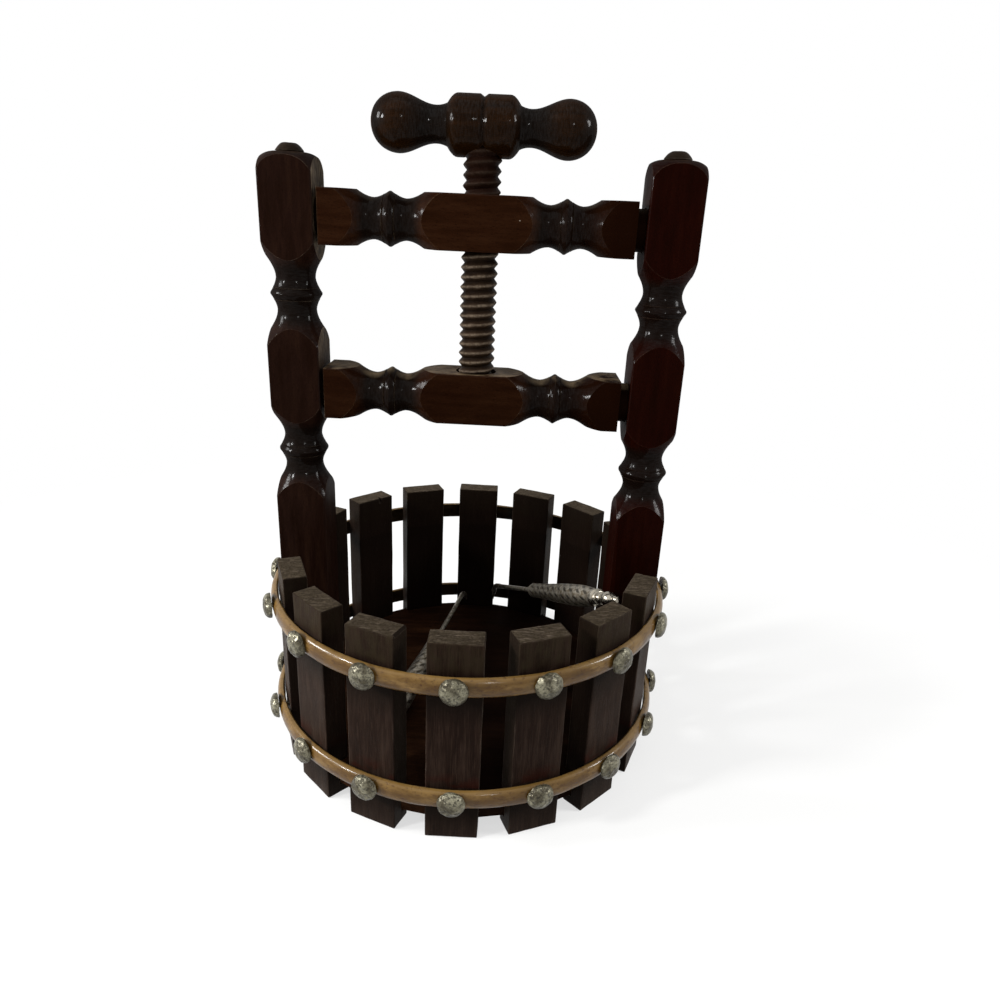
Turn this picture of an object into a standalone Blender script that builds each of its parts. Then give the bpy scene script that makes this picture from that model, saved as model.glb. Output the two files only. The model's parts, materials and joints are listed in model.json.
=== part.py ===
"""Wooden nut bowl with a screw cracker, built like a small wishing well.

A ring of flat staves and two square turned posts stands round a floor disc.
Two half-round cane hoops and a row of domed tacks hold the ring. Two turned
bars join the posts: the wooden screw runs through the upper one and presses
into a seat in the lower one. Two nut picks lie in the bowl.

Units are metres, +Z is up and the front is -Y. The origin is on the ground
under the screw.
"""
import math

import bmesh
import bpy
from mathutils import Matrix, Vector

MM = 0.001

# Clearance between pieces that touch.
FIT = 0.3 * MM

# Ring of staves. The two posts take the places on the X axis.
PLACES = 16
RING_RADIUS = 76.2 * MM       # axis to a stave's outer face
STAVE_WIDTH = 18.7 * MM
STAVE_THICKNESS = 8.9 * MM
STAVE_HEIGHT = 79.4 * MM
STAVE_EDGE = 0.6 * MM

# Floor disc, let into a groove in every stave and post.
FLOOR_TOP = 14.5 * MM
FLOOR_THICKNESS = 10.5 * MM
GROOVE_DEPTH = 4.5 * MM
FLOOR_EDGE = 0.8 * MM

# Cane hoops.
HOOP_WIDTH = 7.2 * MM
HOOP_THICKNESS = 2.6 * MM
HOOP_LOWER_Z = 18.9 * MM
HOOP_UPPER_Z = 64.5 * MM
HOOP_JOINT = 0.4 * MM         # slit of the scarf joint at the back

# Domed tacks.
TACK_DIAMETER = 9.9 * MM
TACK_HEIGHT = 3.1 * MM
TACK_SHANK = 1.8 * MM
TACK_LENGTH = 10.0 * MM

# Turned square posts.
POST_SIDE = 18.7 * MM
POST_EDGE = 0.4 * MM
POST_TOPS = {"left": 225.1 * MM, "right": 227.9 * MM}
POST_BEADS = {"left": (177.8 * MM, 119.0 * MM), "right": (177.6 * MM, 116.0 * MM)}
POST_CAP_FLAT = 5.2 * MM      # radius of the flat under the button
POST_CAP_DROP = 9.2 * MM      # height of the rounded cap
BUTTON_DIAMETER = 9.9 * MM
BUTTON_HEIGHT = 2.9 * MM
BUTTON_STEM = 5.0 * MM
BUTTON_STEM_LENGTH = 9.0 * MM

# Ring turned into posts and bars: a ridge between two coves, then an ogee out
# to the square.
RIDGE_BELOW_FACE = 0.1 * MM
COVE_RADIUS = 7.05 * MM
COVE_OFFSET = 5.6 * MM
OGEE_LENGTH = 15.4 * MM

# Cross bars with round tenons.
BAR_SIDE = 18.8 * MM
BAR_EDGE = 0.4 * MM
SHOULDER_GAP_LEFT = 1.55 * MM     # a little of each tenon shows between shoulder and post
SHOULDER_GAP_RIGHT = 3.55 * MM
SHOULDER_TO_RIDGE = 23.95 * MM
BAR_LOWER_Z = 142.9 * MM
BAR_UPPER_Z = 204.8 * MM
TENON_DIAMETER = 14.5 * MM
TENON_DEPTH = 11.0 * MM       # length of a tenon inside its post

# Wooden screw and its seat in the lower bar.
SCREW_DIAMETER = 13.4 * MM
THREAD_DEPTH = 1.25 * MM
THREAD_PITCH = 3.4 * MM
THREAD_RUNOUT = 1.6 * MM
SCREW_NECK = 12.6 * MM
SCREW_TIP_CHAMFER = 1.4 * MM
SEAT_DIAMETER = 15.2 * MM
SEAT_DEPTH = 4.0 * MM
SEAT_GAP = 0.5 * MM           # screw tip above the seat's floor

# Handle turned across the screw's head.
HANDLE_Z = 235.7 * MM
HANDLE_LENGTH = 76.8 * MM
BARREL_DIAMETER = 19.8 * MM
BARREL_LENGTH = 17.6 * MM
BARREL_CHAMFER = 3.6 * MM
BARREL_GROOVE_DEPTH = 0.9 * MM
BARREL_GROOVE_WIDTH = 2.4 * MM
HANDLE_NECK = 11.9 * MM
HANDLE_NECK_OFFSET = 16.1 * MM
GRIP_DIAMETER = 19.0 * MM
GRIP_OFFSET = 28.9 * MM
SOCKET_DEPTH = 9.0 * MM       # screw neck inside the barrel
DOWEL_DIAMETER = 4.0 * MM
DOWEL_IN_SCREW = 14.0 * MM
DOWEL_IN_HANDLE = 6.0 * MM

# Nut picks.
PICK_SHAFT_END = 113.0 * MM   # nib to the knee of the hook
PICK_HOOK = 11.0 * MM
PICK_HOOK_ANGLE = math.radians(55.0)
PICK_NIB = 3.4 * MM
PICK_BALL = 6.8 * MM
PICK_BALL_AT = 6.6 * MM
PICK_BEAD_AT = 11.6 * MM
PICK_GRIP = 10.4 * MM
PICK_GRIP_START = 14.5 * MM
PICK_GRIP_END = 70.0 * MM
PICK_SHAFT = 2.4 * MM

# Places of the picks. An inset is measured from the staves' inner faces.
FLOOR_PICK_BALL_ANGLE = math.radians(-121.0)
FLOOR_PICK_BALL_INSET = 7.1 * MM
FLOOR_PICK_BALL_RISE = 4.3 * MM       # above the floor disc
FLOOR_PICK_KNEE_ANGLE = math.radians(96.1)
FLOOR_PICK_KNEE_INSET = 9.3 * MM
FLOOR_PICK_KNEE_RISE = 11.4 * MM      # above the floor disc
LEANING_PICK_BALL_ANGLE = math.radians(-31.0)
LEANING_PICK_BALL_INSET = 0.8 * MM
LEANING_PICK_BALL_DROP = 3.4 * MM     # below the staves' tops
LEANING_PICK_KNEE_ANGLE = math.radians(79.0)
LEANING_PICK_KNEE_INSET = 7.5 * MM
LEANING_PICK_KNEE_RISE = 17.0 * MM

TURNED_SEGMENTS = 16
HANDLE_SEGMENTS = 20
SCREW_SEGMENTS = 16
HOOP_SEGMENTS = 2 * PLACES
TACK_SEGMENTS = 8

POST_X = RING_RADIUS - POST_SIDE / 2
BARREL_UNDERSIDE = HANDLE_Z - BARREL_DIAMETER / 2
LOWER_BAR_TOP = BAR_LOWER_Z + BAR_SIDE / 2
STAVE_INSIDE = RING_RADIUS - STAVE_THICKNESS
FLOOR_RADIUS = STAVE_INSIDE + GROOVE_DEPTH - FIT
HOOP_INSIDE = math.hypot(RING_RADIUS, STAVE_WIDTH / 2) + FIT
HOOP_OUTSIDE = HOOP_INSIDE + HOOP_THICKNESS
TACK_SEAT = HOOP_OUTSIDE / math.cos(math.pi / HOOP_SEGMENTS) + FIT
BAR_LEFT = SHOULDER_GAP_LEFT - (POST_X - POST_SIDE / 2)
BAR_RIGHT = POST_X - POST_SIDE / 2 - SHOULDER_GAP_RIGHT
SCREW_TIP_Z = LOWER_BAR_TOP - SEAT_DEPTH + SEAT_GAP
SCREW_TOP_Z = BARREL_UNDERSIDE + SOCKET_DEPTH


def clear_scene():
    """Removes every object, so the model starts from an empty scene."""
    for obj in list(bpy.data.objects):
        bpy.data.objects.remove(obj, do_unlink=True)


def new_collection(name):
    collection = bpy.data.collections.new(name)
    bpy.context.scene.collection.children.link(collection)
    return collection


def srgb(code):
    """Linear RGBA of a six-digit sRGB colour."""
    channels = [int(code[i:i + 2], 16) / 255 for i in (0, 2, 4)]
    return (*[c / 12.92 if c <= 0.04045 else ((c + 0.055) / 1.055) ** 2.4 for c in channels], 1.0)


def new_material(name, colour, roughness, metallic=0.0):
    material = bpy.data.materials.new(name)
    material.use_nodes = True
    shader = material.node_tree.nodes["Principled BSDF"]
    shader.inputs["Base Color"].default_value = srgb(colour)
    shader.inputs["Roughness"].default_value = roughness
    shader.inputs["Metallic"].default_value = metallic
    material.diffuse_color = srgb(colour)
    return material


class Model:
    """The collections and materials that the pieces go into."""

    def __init__(self):
        clear_scene()
        self.parts = new_collection("nut_bowl_with_cracker")
        self.cutters = new_collection("cutters")
        self.materials = {
            "stave": new_material("stained_stave_wood", "4A3028", 0.45),
            "turned": new_material("polished_dark_wood", "3A1C12", 0.28),
            "floor": new_material("floor_wood", "2E1A14", 0.5),
            "cane": new_material("half_round_cane", "B08A58", 0.35),
            "tack": new_material("antique_nickel", "9A958C", 0.38, 1.0),
            "screw": new_material("worn_screw_wood", "5A4438", 0.55),
            "handle": new_material("glossy_red_brown_wood", "4A2014", 0.22),
            "dowel": new_material("plain_dowel_wood", "A88458", 0.6),
            "steel": new_material("polished_pick_steel", "C4C4C2", 0.25, 1.0),
        }

    def add(self, name, mesh, material):
        """A new piece made from a mesh."""
        obj = bpy.data.objects.new(name, mesh)
        self.parts.objects.link(obj)
        obj.data.materials.clear()
        obj.data.materials.append(self.materials[material])
        return obj

    def add_cutter(self, name, mesh):
        """A guide that cuts other pieces and isn't rendered."""
        obj = bpy.data.objects.new(name, mesh)
        self.cutters.objects.link(obj)
        obj.hide_render = True
        obj.display_type = "WIRE"
        return obj


def mesh_from_bmesh(name, bm):
    bmesh.ops.recalc_face_normals(bm, faces=bm.faces)
    mesh = bpy.data.meshes.new(name)
    bm.to_mesh(mesh)
    bm.free()
    return mesh


def smooth(mesh):
    """Smooth shading that keeps the corners sharp."""
    mesh.shade_smooth()
    mesh.set_sharp_from_angle(angle=math.radians(40))
    return mesh


def box_mesh(name, low, high):
    """A box between two corners."""
    low, high = Vector(low), Vector(high)
    bm = bmesh.new()
    bmesh.ops.create_cube(bm, size=1.0)
    size = high - low
    bmesh.ops.scale(bm, vec=size, verts=bm.verts)
    bmesh.ops.translate(bm, vec=(low + high) / 2, verts=bm.verts)
    return mesh_from_bmesh(name, bm)


def cylinder_mesh(name, radius, low, high, segments):
    """An upright cylinder between two heights."""
    bm = bmesh.new()
    bmesh.ops.create_cone(
        bm, cap_ends=True, segments=segments, radius1=radius, radius2=radius, depth=high - low
    )
    bmesh.ops.translate(bm, vec=(0, 0, (low + high) / 2), verts=bm.verts)
    return smooth(mesh_from_bmesh(name, bm))


def profile_mesh(name, points):
    """An open line of (radius, height) points, ready for a Screw modifier."""
    mesh = bpy.data.meshes.new(name)
    verts = [(radius, 0.0, height) for radius, height in points]
    mesh.from_pydata(verts, [(i, i + 1) for i in range(len(verts) - 1)], [])
    return mesh


def turn(obj, segments):
    """Turns the object's profile round its Z axis."""
    screw = obj.modifiers.new("turn", "SCREW")
    screw.axis = "Z"
    screw.angle = math.tau
    screw.steps = segments
    screw.render_steps = segments
    screw.use_merge_vertices = True
    screw.merge_threshold = 0.00001
    screw.use_smooth_shade = True
    return obj


def bevel(obj, width, segments=1):
    modifier = obj.modifiers.new("edges", "BEVEL")
    modifier.width = width
    modifier.segments = segments
    modifier.limit_method = "ANGLE"
    modifier.angle_limit = math.radians(60)
    return obj


def boolean(obj, other, operation="DIFFERENCE"):
    modifier = obj.modifiers.new(operation.lower(), "BOOLEAN")
    modifier.operation = operation
    modifier.object = other
    modifier.solver = "EXACT"
    return obj


def evaluated_mesh(obj, name):
    """A plain mesh of an object with its modifiers, in the object's own space."""
    graph = bpy.context.evaluated_depsgraph_get()
    graph.update()
    mesh = bpy.data.meshes.new_from_object(obj.evaluated_get(graph))
    mesh.name = name
    return mesh


def copies_mesh(name, mesh, matrices):
    """One mesh that holds a copy of another at each matrix, as separate bodies."""
    bm = bmesh.new()
    for matrix in matrices:
        start = len(bm.verts)
        bm.from_mesh(mesh)
        bm.verts.ensure_lookup_table()
        bmesh.ops.transform(bm, matrix=matrix, verts=bm.verts[start:])
    return mesh_from_bmesh(name, bm)


def place_angle(place):
    return place * math.tau / PLACES


def place_names():
    """The stave name at each place of the ring; posts stand at the first and the middle one."""
    half = PLACES // 2
    names = {place: f"stave_back_{place}" for place in range(1, half)}
    names.update({place: f"stave_front_{place - half}" for place in range(half + 1, PLACES)})
    return names


def tack_matrix(place, height):
    """Place of one tack: its axis is +Z, turned to point outwards."""
    return (
        Matrix.Rotation(place_angle(place), 4, "Z")
        @ Matrix.Translation((TACK_SEAT, 0, height))
        @ Matrix.Rotation(math.radians(90), 4, "Y")
    )


def turned_ring(centre, side):
    """(radius, height) points, top to bottom, of a ridge and its coves turned into a square."""
    ridge = side / 2 - RIDGE_BELOW_FACE
    outside = clear_radius(side)
    upper = []
    for step in (1.0, 0.75, 0.5, 0.25):
        rise = (1 - math.cos(math.pi * step)) / 2
        upper.append((COVE_RADIUS + (outside - COVE_RADIUS) * rise, COVE_OFFSET + OGEE_LENGTH * step))
    upper.append((COVE_RADIUS, COVE_OFFSET))
    upper.append((COVE_RADIUS + (ridge - COVE_RADIUS) * 0.45, COVE_OFFSET * 0.4))
    lower = [(radius, -offset) for radius, offset in reversed(upper)]
    return [(radius, centre + offset) for radius, offset in upper + [(ridge, 0.0)] + lower]


def clear_radius(side):
    """A radius that clears the corners of a square bar."""
    return side / math.sqrt(2) + FIT


def square_turning(model, name, material, side, edge, profile, low, high):
    """A square bar along its own Z axis, turned to a profile where the profile is inside it."""
    half = side / 2
    obj = model.add(name, box_mesh(name, (-half, -half, low), (half, half, high)), material)
    bevel(obj, edge)
    turned = turn(model.add_cutter(name + "_turning", profile_mesh(name, profile)), TURNED_SEGMENTS)
    boolean(obj, turned, "INTERSECT")
    return obj, turned


def build_staves(model, groove, tack_holes):
    half = STAVE_WIDTH / 2
    for place, name in place_names().items():
        mesh = box_mesh(name, (STAVE_INSIDE, -half, 0), (RING_RADIUS, half, STAVE_HEIGHT))
        stave = model.add(name, mesh, "stave")
        stave.rotation_euler.z = place_angle(place)
        bevel(stave, STAVE_EDGE)
        boolean(stave, groove)
        boolean(stave, tack_holes)


def build_floor(model):
    mesh = cylinder_mesh("floor_disc", FLOOR_RADIUS, FLOOR_TOP - FLOOR_THICKNESS, FLOOR_TOP, 3 * PLACES)
    floor = model.add("floor_disc", mesh, "floor")
    bevel(floor, FLOOR_EDGE)
    notch_start = POST_X - POST_SIDE / 2 + GROOVE_DEPTH - FIT
    notch_half = POST_SIDE / 2 + FIT
    for side, label in ((-1, "left"), (1, "right")):
        ends = sorted((side * notch_start, side * (FLOOR_RADIUS + 5 * FIT)))
        notch = box_mesh("notch", (ends[0], -notch_half, -FIT), (ends[1], notch_half, FLOOR_TOP + 5 * FIT))
        boolean(floor, model.add_cutter(f"floor_notch_{label}", notch))


def build_posts(model, tack_holes):
    for side, label in ((-1, "left"), (1, "right")):
        top = POST_TOPS[label]
        outside = clear_radius(POST_SIDE)
        profile = [(0.0, top), (POST_CAP_FLAT, top)]
        for step in range(1, 6):
            angle = step * math.pi / 10
            profile.append((
                POST_CAP_FLAT + (outside - POST_CAP_FLAT) * math.sin(angle),
                top - POST_CAP_DROP * (1 - math.cos(angle)),
            ))
        for bead in POST_BEADS[label]:
            profile += turned_ring(bead, POST_SIDE)
        profile += [(outside, -5 * FIT), (0.0, -5 * FIT)]
        post, turned = square_turning(
            model, f"post_{label}", "turned", POST_SIDE, POST_EDGE, profile, 0.0, top + 5 * FIT
        )
        post.location.x = turned.location.x = side * POST_X

        inner_face = POST_X - POST_SIDE / 2
        ends = sorted((side * (inner_face - 5 * FIT), side * (inner_face + GROOVE_DEPTH)))
        low, high = FLOOR_TOP - FLOOR_THICKNESS - FIT, FLOOR_TOP + FIT
        groove = box_mesh("groove", (ends[0], -POST_SIDE, low), (ends[1], POST_SIDE, high))
        boolean(post, model.add_cutter(f"post_groove_{label}", groove))

        mortise = cylinder_mesh(
            "mortise", TENON_DIAMETER / 2 + FIT, inner_face - 5 * FIT, inner_face + TENON_DEPTH + FIT, 24
        )
        for level, height in (("lower", BAR_LOWER_Z), ("upper", BAR_UPPER_Z)):
            cutter = model.add_cutter(f"mortise_{label}_{level}", mortise)
            cutter.rotation_euler.y = side * math.radians(90)
            cutter.location.z = height
            boolean(post, cutter)

        stem = BUTTON_STEM / 2 + FIT
        hole = cylinder_mesh("stem_hole", stem, top - BUTTON_STEM_LENGTH - FIT, top + 5 * FIT, 12)
        cutter = model.add_cutter(f"button_hole_{label}", hole)
        cutter.location.x = side * POST_X
        boolean(post, cutter)
        boolean(post, tack_holes)
        build_button(model, label, side * POST_X, top)


def build_button(model, label, x, post_top):
    """A flattened mushroom plug on the cap of a post."""
    radius = BUTTON_DIAMETER / 2
    seat = FIT
    profile = [(0.0, BUTTON_HEIGHT)]
    for angle in (30, 60):
        swing = math.radians(angle)
        profile.append((radius * math.sin(swing), seat + (BUTTON_HEIGHT - seat) * math.cos(swing) ** 0.7))
    profile += [(radius, seat), (BUTTON_STEM / 2, seat),
                (BUTTON_STEM / 2, -BUTTON_STEM_LENGTH), (0.0, -BUTTON_STEM_LENGTH)]
    button = turn(model.add(f"button_{label}", profile_mesh("button", profile), "turned"), 16)
    button.location = (x, 0, post_top)


def build_hoops(model, tack_holes):
    half = HOOP_WIDTH / 2
    outward = 1 / math.cos(math.pi / HOOP_SEGMENTS)
    inside = HOOP_INSIDE * outward
    scarf = box_mesh("scarf", (-2 * HOOP_WIDTH, -HOOP_JOINT / 2, -2 * HOOP_WIDTH),
                     (2 * HOOP_WIDTH, HOOP_JOINT / 2, 2 * HOOP_WIDTH))
    for label, height in (("lower", HOOP_LOWER_Z), ("upper", HOOP_UPPER_Z)):
        section = [(inside, half)]
        for angle in (60, 25, -25, -60):
            reach = math.radians(angle)
            section.append((inside + HOOP_THICKNESS * math.cos(reach) ** 0.5, half * math.sin(reach)))
        section += [(inside, -half), (inside, half)]
        hoop = turn(model.add(f"hoop_{label}", profile_mesh("hoop", section), "cane"), HOOP_SEGMENTS)
        hoop.location.z = height
        cutter = model.add_cutter(f"scarf_{label}", scarf)
        between = place_angle(PLACES // 4 - 0.5)
        cutter.location = (RING_RADIUS * math.cos(between), RING_RADIUS * math.sin(between), height)
        cutter.rotation_euler = (math.radians(35), 0, between + math.radians(90))
        boolean(hoop, cutter)
        boolean(hoop, tack_holes)


def build_tacks(model):
    """Two rows of tacks that share one mesh, and the cutter of their holes."""
    radius = TACK_DIAMETER / 2
    shank = TACK_SHANK / 2
    profile = [(0.0, TACK_HEIGHT), (0.68 * radius, 0.74 * TACK_HEIGHT), (radius, 0.0),
               (shank, 0.0), (shank, -TACK_LENGTH), (0.0, -TACK_LENGTH)]
    guide = turn(model.add_cutter("tack_guide", profile_mesh("tack", profile)), TACK_SEGMENTS)
    tack = evaluated_mesh(guide, "tack")
    bpy.data.objects.remove(guide, do_unlink=True)
    hole = cylinder_mesh("hole", shank + FIT, -TACK_LENGTH - FIT, TACK_HEIGHT, TACK_SEGMENTS)
    holes = []
    for label, height in (("lower", HOOP_LOWER_Z), ("upper", HOOP_UPPER_Z)):
        for place in range(PLACES):
            matrix = tack_matrix(place, height)
            model.add(f"tack_{label}_{place + 1:02d}", tack, "tack").matrix_world = matrix
            holes.append(matrix)
    return model.add_cutter("tack_holes", copies_mesh("tack_holes", hole, holes))


def bar_profile():
    """(radius, position) points of a bar from its right end to its left one."""
    outside = clear_radius(BAR_SIDE)
    tenon = TENON_DIAMETER / 2
    reach = POST_X - POST_SIDE / 2 + TENON_DEPTH
    profile = [(0.0, reach), (tenon - FIT, reach), (tenon, reach - 2 * FIT), (tenon, BAR_RIGHT), (outside, BAR_RIGHT)]
    profile += turned_ring(BAR_RIGHT - SHOULDER_TO_RIDGE, BAR_SIDE)
    profile += turned_ring(BAR_LEFT + SHOULDER_TO_RIDGE, BAR_SIDE)
    profile += [(outside, BAR_LEFT), (tenon, BAR_LEFT), (tenon, 2 * FIT - reach), (tenon - FIT, -reach), (0.0, -reach)]
    return profile, reach


def build_bars(model):
    profile, reach = bar_profile()
    for label, height in (("lower", BAR_LOWER_Z), ("upper", BAR_UPPER_Z)):
        bar, turned = square_turning(
            model, f"bar_{label}", "turned", BAR_SIDE, BAR_EDGE, profile, -reach - 5 * FIT, reach + 5 * FIT
        )
        for obj in (bar, turned):
            obj.rotation_euler.y = math.radians(90)
            obj.location.z = height
        if label == "upper":
            bore = cylinder_mesh("bore", SCREW_DIAMETER / 2 + FIT, height - BAR_SIDE, height + BAR_SIDE, 24)
            boolean(bar, model.add_cutter("screw_bore", bore))
        else:
            seat = cylinder_mesh("seat", SEAT_DIAMETER / 2, LOWER_BAR_TOP - SEAT_DEPTH,
                                 LOWER_BAR_TOP + 5 * FIT, 24)
            boolean(bar, model.add_cutter("screw_seat", seat))


def helix_mesh(name, low, high):
    """A threaded rod with a plain neck on top, a little longer than needed at both ends.

    Column k of the surface climbs k / SCREW_SEGMENTS of a pitch, so the rows of
    crests and roots run round the rod as one right-handed helix.
    """
    crest = SCREW_DIAMETER / 2
    levels = 2 * (math.ceil((high - low) / THREAD_PITCH) + 3)
    start = low - 2 * THREAD_PITCH
    runout = BARREL_UNDERSIDE - THREAD_RUNOUT
    bm = bmesh.new()
    columns = []
    for k in range(SCREW_SEGMENTS):
        angle = math.tau * k / SCREW_SEGMENTS
        column = []
        for i in range(levels):
            z = start + THREAD_PITCH * (i / 2 + k / SCREW_SEGMENTS)
            radius = crest if i % 2 else crest - THREAD_DEPTH
            blend = min(max((z - runout) / THREAD_RUNOUT, 0.0), 1.0)
            radius += (SCREW_NECK / 2 - radius) * blend
            column.append(bm.verts.new((radius * math.cos(angle), radius * math.sin(angle), z)))
        columns.append(column)
    for k in range(SCREW_SEGMENTS - 1):
        here, there = columns[k], columns[k + 1]
        for i in range(levels - 1):
            bm.faces.new((here[i], there[i], there[i + 1], here[i + 1]))
    here, there = columns[-1], columns[0]
    for i in range(levels - 3):
        bm.faces.new((here[i], there[i + 2], there[i + 3], here[i + 1]))
    bottom = bm.verts.new((0, 0, start - THREAD_PITCH))
    ring = [column[0] for column in columns] + [columns[0][2], columns[0][1]]
    for first, second in zip(ring, ring[1:] + ring[:1]):
        bm.faces.new((first, bottom, second))
    top = bm.verts.new((0, 0, start + THREAD_PITCH * (levels / 2 + 2)))
    last = levels - 1
    ring = [column[last] for column in columns] + [columns[-1][last - 1], columns[-1][last - 2]]
    for first, second in zip(ring, ring[1:] + ring[:1]):
        bm.faces.new((first, top, second))
    bmesh.ops.triangulate(bm, faces=bm.faces)
    return smooth(mesh_from_bmesh(name, bm))


def build_screw(model, axis):
    """The wooden screw: a helical rod cut to length, with a chamfered tip."""
    screw = model.add("press_screw", helix_mesh("press_screw", SCREW_TIP_Z, SCREW_TOP_Z), "screw")
    crest = SCREW_DIAMETER / 2
    envelope = profile_mesh("envelope", [
        (0.0, SCREW_TOP_Z), (crest + FIT, SCREW_TOP_Z), (crest + FIT, SCREW_TIP_Z + SCREW_TIP_CHAMFER + FIT),
        (crest - SCREW_TIP_CHAMFER, SCREW_TIP_Z), (0.0, SCREW_TIP_Z),
    ])
    boolean(screw, turn(model.add_cutter("screw_length", envelope), SCREW_SEGMENTS), "INTERSECT")
    hole = cylinder_mesh("dowel_hole", DOWEL_DIAMETER / 2 + FIT, SCREW_TOP_Z - DOWEL_IN_SCREW - FIT,
                         SCREW_TOP_Z + 5 * FIT, 12)
    boolean(screw, model.add_cutter("screw_dowel_hole", hole))
    screw.parent = axis

    dowel = cylinder_mesh("screw_dowel", DOWEL_DIAMETER / 2, SCREW_TOP_Z - DOWEL_IN_SCREW,
                          SCREW_TOP_Z + DOWEL_IN_HANDLE, 12)
    model.add("screw_dowel", dowel, "dowel").parent = axis


def handle_profile():
    """(radius, position) points of the handle from its right end to its left one."""
    barrel, neck, grip = BARREL_DIAMETER / 2, HANDLE_NECK / 2, GRIP_DIAMETER / 2
    end, half_barrel = HANDLE_LENGTH / 2, BARREL_LENGTH / 2
    half = [(0.0, end)]
    for angle in (20, 45, 70):
        swing = math.radians(angle)
        half.append((grip * math.sin(swing), GRIP_OFFSET + (end - GRIP_OFFSET) * math.cos(swing)))
    half.append((grip, GRIP_OFFSET))
    for step in (0.25, 0.5, 0.75):
        sweep = (1 + math.cos(math.pi * step)) / 2
        half.append((neck + (grip - neck) * sweep, GRIP_OFFSET + (HANDLE_NECK_OFFSET - GRIP_OFFSET) * step))
    half.append((neck, HANDLE_NECK_OFFSET))
    foot = half_barrel + BARREL_CHAMFER
    half.append((neck + 0.1 * (barrel - neck), (HANDLE_NECK_OFFSET + foot) / 2))
    half.append((barrel - BARREL_CHAMFER, foot))
    half.append((barrel, half_barrel))
    half.append((barrel, BARREL_GROOVE_WIDTH / 2))
    mirrored = [(radius, -position) for radius, position in reversed(half)]
    return half + [(barrel - BARREL_GROOVE_DEPTH, 0.0)] + mirrored


def build_handle(model, axis):
    handle = model.add("turn_handle", profile_mesh("turn_handle", handle_profile()), "handle")
    turn(handle, HANDLE_SEGMENTS)
    handle.rotation_euler.y = math.radians(90)
    handle.location.z = HANDLE_Z
    handle.parent = axis
    socket = cylinder_mesh("socket", SCREW_NECK / 2 + FIT, BARREL_UNDERSIDE - FIT, SCREW_TOP_Z + FIT, 24)
    hole = cylinder_mesh("handle_hole", DOWEL_DIAMETER / 2 + FIT, BARREL_UNDERSIDE,
                         SCREW_TOP_Z + DOWEL_IN_HANDLE + FIT, 12)
    boolean(handle, model.add_cutter("handle_socket", socket))
    boolean(handle, model.add_cutter("handle_dowel_hole", hole))


def pick_points():
    """(distance along the shaft, radius) of a pick: nib, ball, beads, grip and thin shaft."""
    nib, ball, grip, shaft = PICK_NIB / 2, PICK_BALL / 2, PICK_GRIP / 2, PICK_SHAFT / 2
    points = [(0.0, 0.6 * nib), (nib, nib)]
    points += [(PICK_BALL_AT - ball * math.cos(math.radians(a)), ball * math.sin(math.radians(a)))
               for a in (40, 90, 135)]
    points += [(PICK_BALL_AT + ball, 0.66 * ball), (PICK_BEAD_AT, 0.9 * ball), (PICK_GRIP_START - nib, 0.85 * ball)]
    length = PICK_GRIP_END - PICK_GRIP_START
    points += [(PICK_GRIP_START + length * step, grip * width) for step, width in ((0, 0.9), (0.3, 1), (0.75, 0.78))]
    points += [(PICK_GRIP_END, 0.4 * grip), (PICK_GRIP_END + 1.4 * grip, shaft)]
    points += [(PICK_SHAFT_END - 2 * shaft, shaft), (PICK_SHAFT_END, 0.95 * shaft)]
    return points


def build_pick(model, name, ball, knee, from_knee):
    """A steel nut pick along the line from ball to knee, with a hook that bends down.

    Its length is its own, so it starts at the ball or ends at the knee.
    """
    along = (knee - ball).normalized()
    sideways = along.cross(Vector((0, 0, 1))).normalized()
    hook = Matrix.Rotation(-PICK_HOOK_ANGLE, 3, sideways) @ along
    half_turn = Matrix.Rotation(-PICK_HOOK_ANGLE / 2, 3, sideways) @ along
    points = [(along * distance, radius) for distance, radius in pick_points()]
    bend, shaft = along * PICK_SHAFT_END, PICK_SHAFT / 2
    points.append((bend + half_turn * 2 * shaft, 0.9 * shaft))
    points.append((bend + half_turn * 2 * shaft + hook * (PICK_HOOK / 2 - 2 * shaft), 0.75 * shaft))
    points.append((bend + half_turn * 2 * shaft + hook * (PICK_HOOK - 2 * shaft), 0.3 * shaft))
    curve = bpy.data.curves.new(name, "CURVE")
    curve.dimensions = "3D"
    curve.bevel_depth = MM
    curve.bevel_resolution = 2
    curve.use_fill_caps = True
    spline = curve.splines.new("POLY")
    spline.points.add(len(points) - 1)
    for point, (place, radius) in zip(spline.points, points):
        point.co = (*place, 1.0)
        point.radius = radius / MM
    pick = model.add(name, curve, "steel")
    pick.location = knee - along * PICK_SHAFT_END if from_knee else ball


def in_bowl(angle, inset, height):
    """A point in the bowl, at a distance from the staves' inner faces."""
    radius = STAVE_INSIDE - inset
    return Vector((radius * math.cos(angle), radius * math.sin(angle), height))


def build_picks(model):
    ball = in_bowl(FLOOR_PICK_BALL_ANGLE, FLOOR_PICK_BALL_INSET, FLOOR_TOP + FLOOR_PICK_BALL_RISE)
    knee = in_bowl(FLOOR_PICK_KNEE_ANGLE, FLOOR_PICK_KNEE_INSET, FLOOR_TOP + FLOOR_PICK_KNEE_RISE)
    build_pick(model, "nut_pick_floor", ball, knee, from_knee=True)
    ball = in_bowl(LEANING_PICK_BALL_ANGLE, LEANING_PICK_BALL_INSET, STAVE_HEIGHT - LEANING_PICK_BALL_DROP)
    knee = in_bowl(LEANING_PICK_KNEE_ANGLE, LEANING_PICK_KNEE_INSET, FLOOR_TOP + LEANING_PICK_KNEE_RISE)
    build_pick(model, "nut_pick_leaning", ball, knee, from_knee=False)


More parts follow.
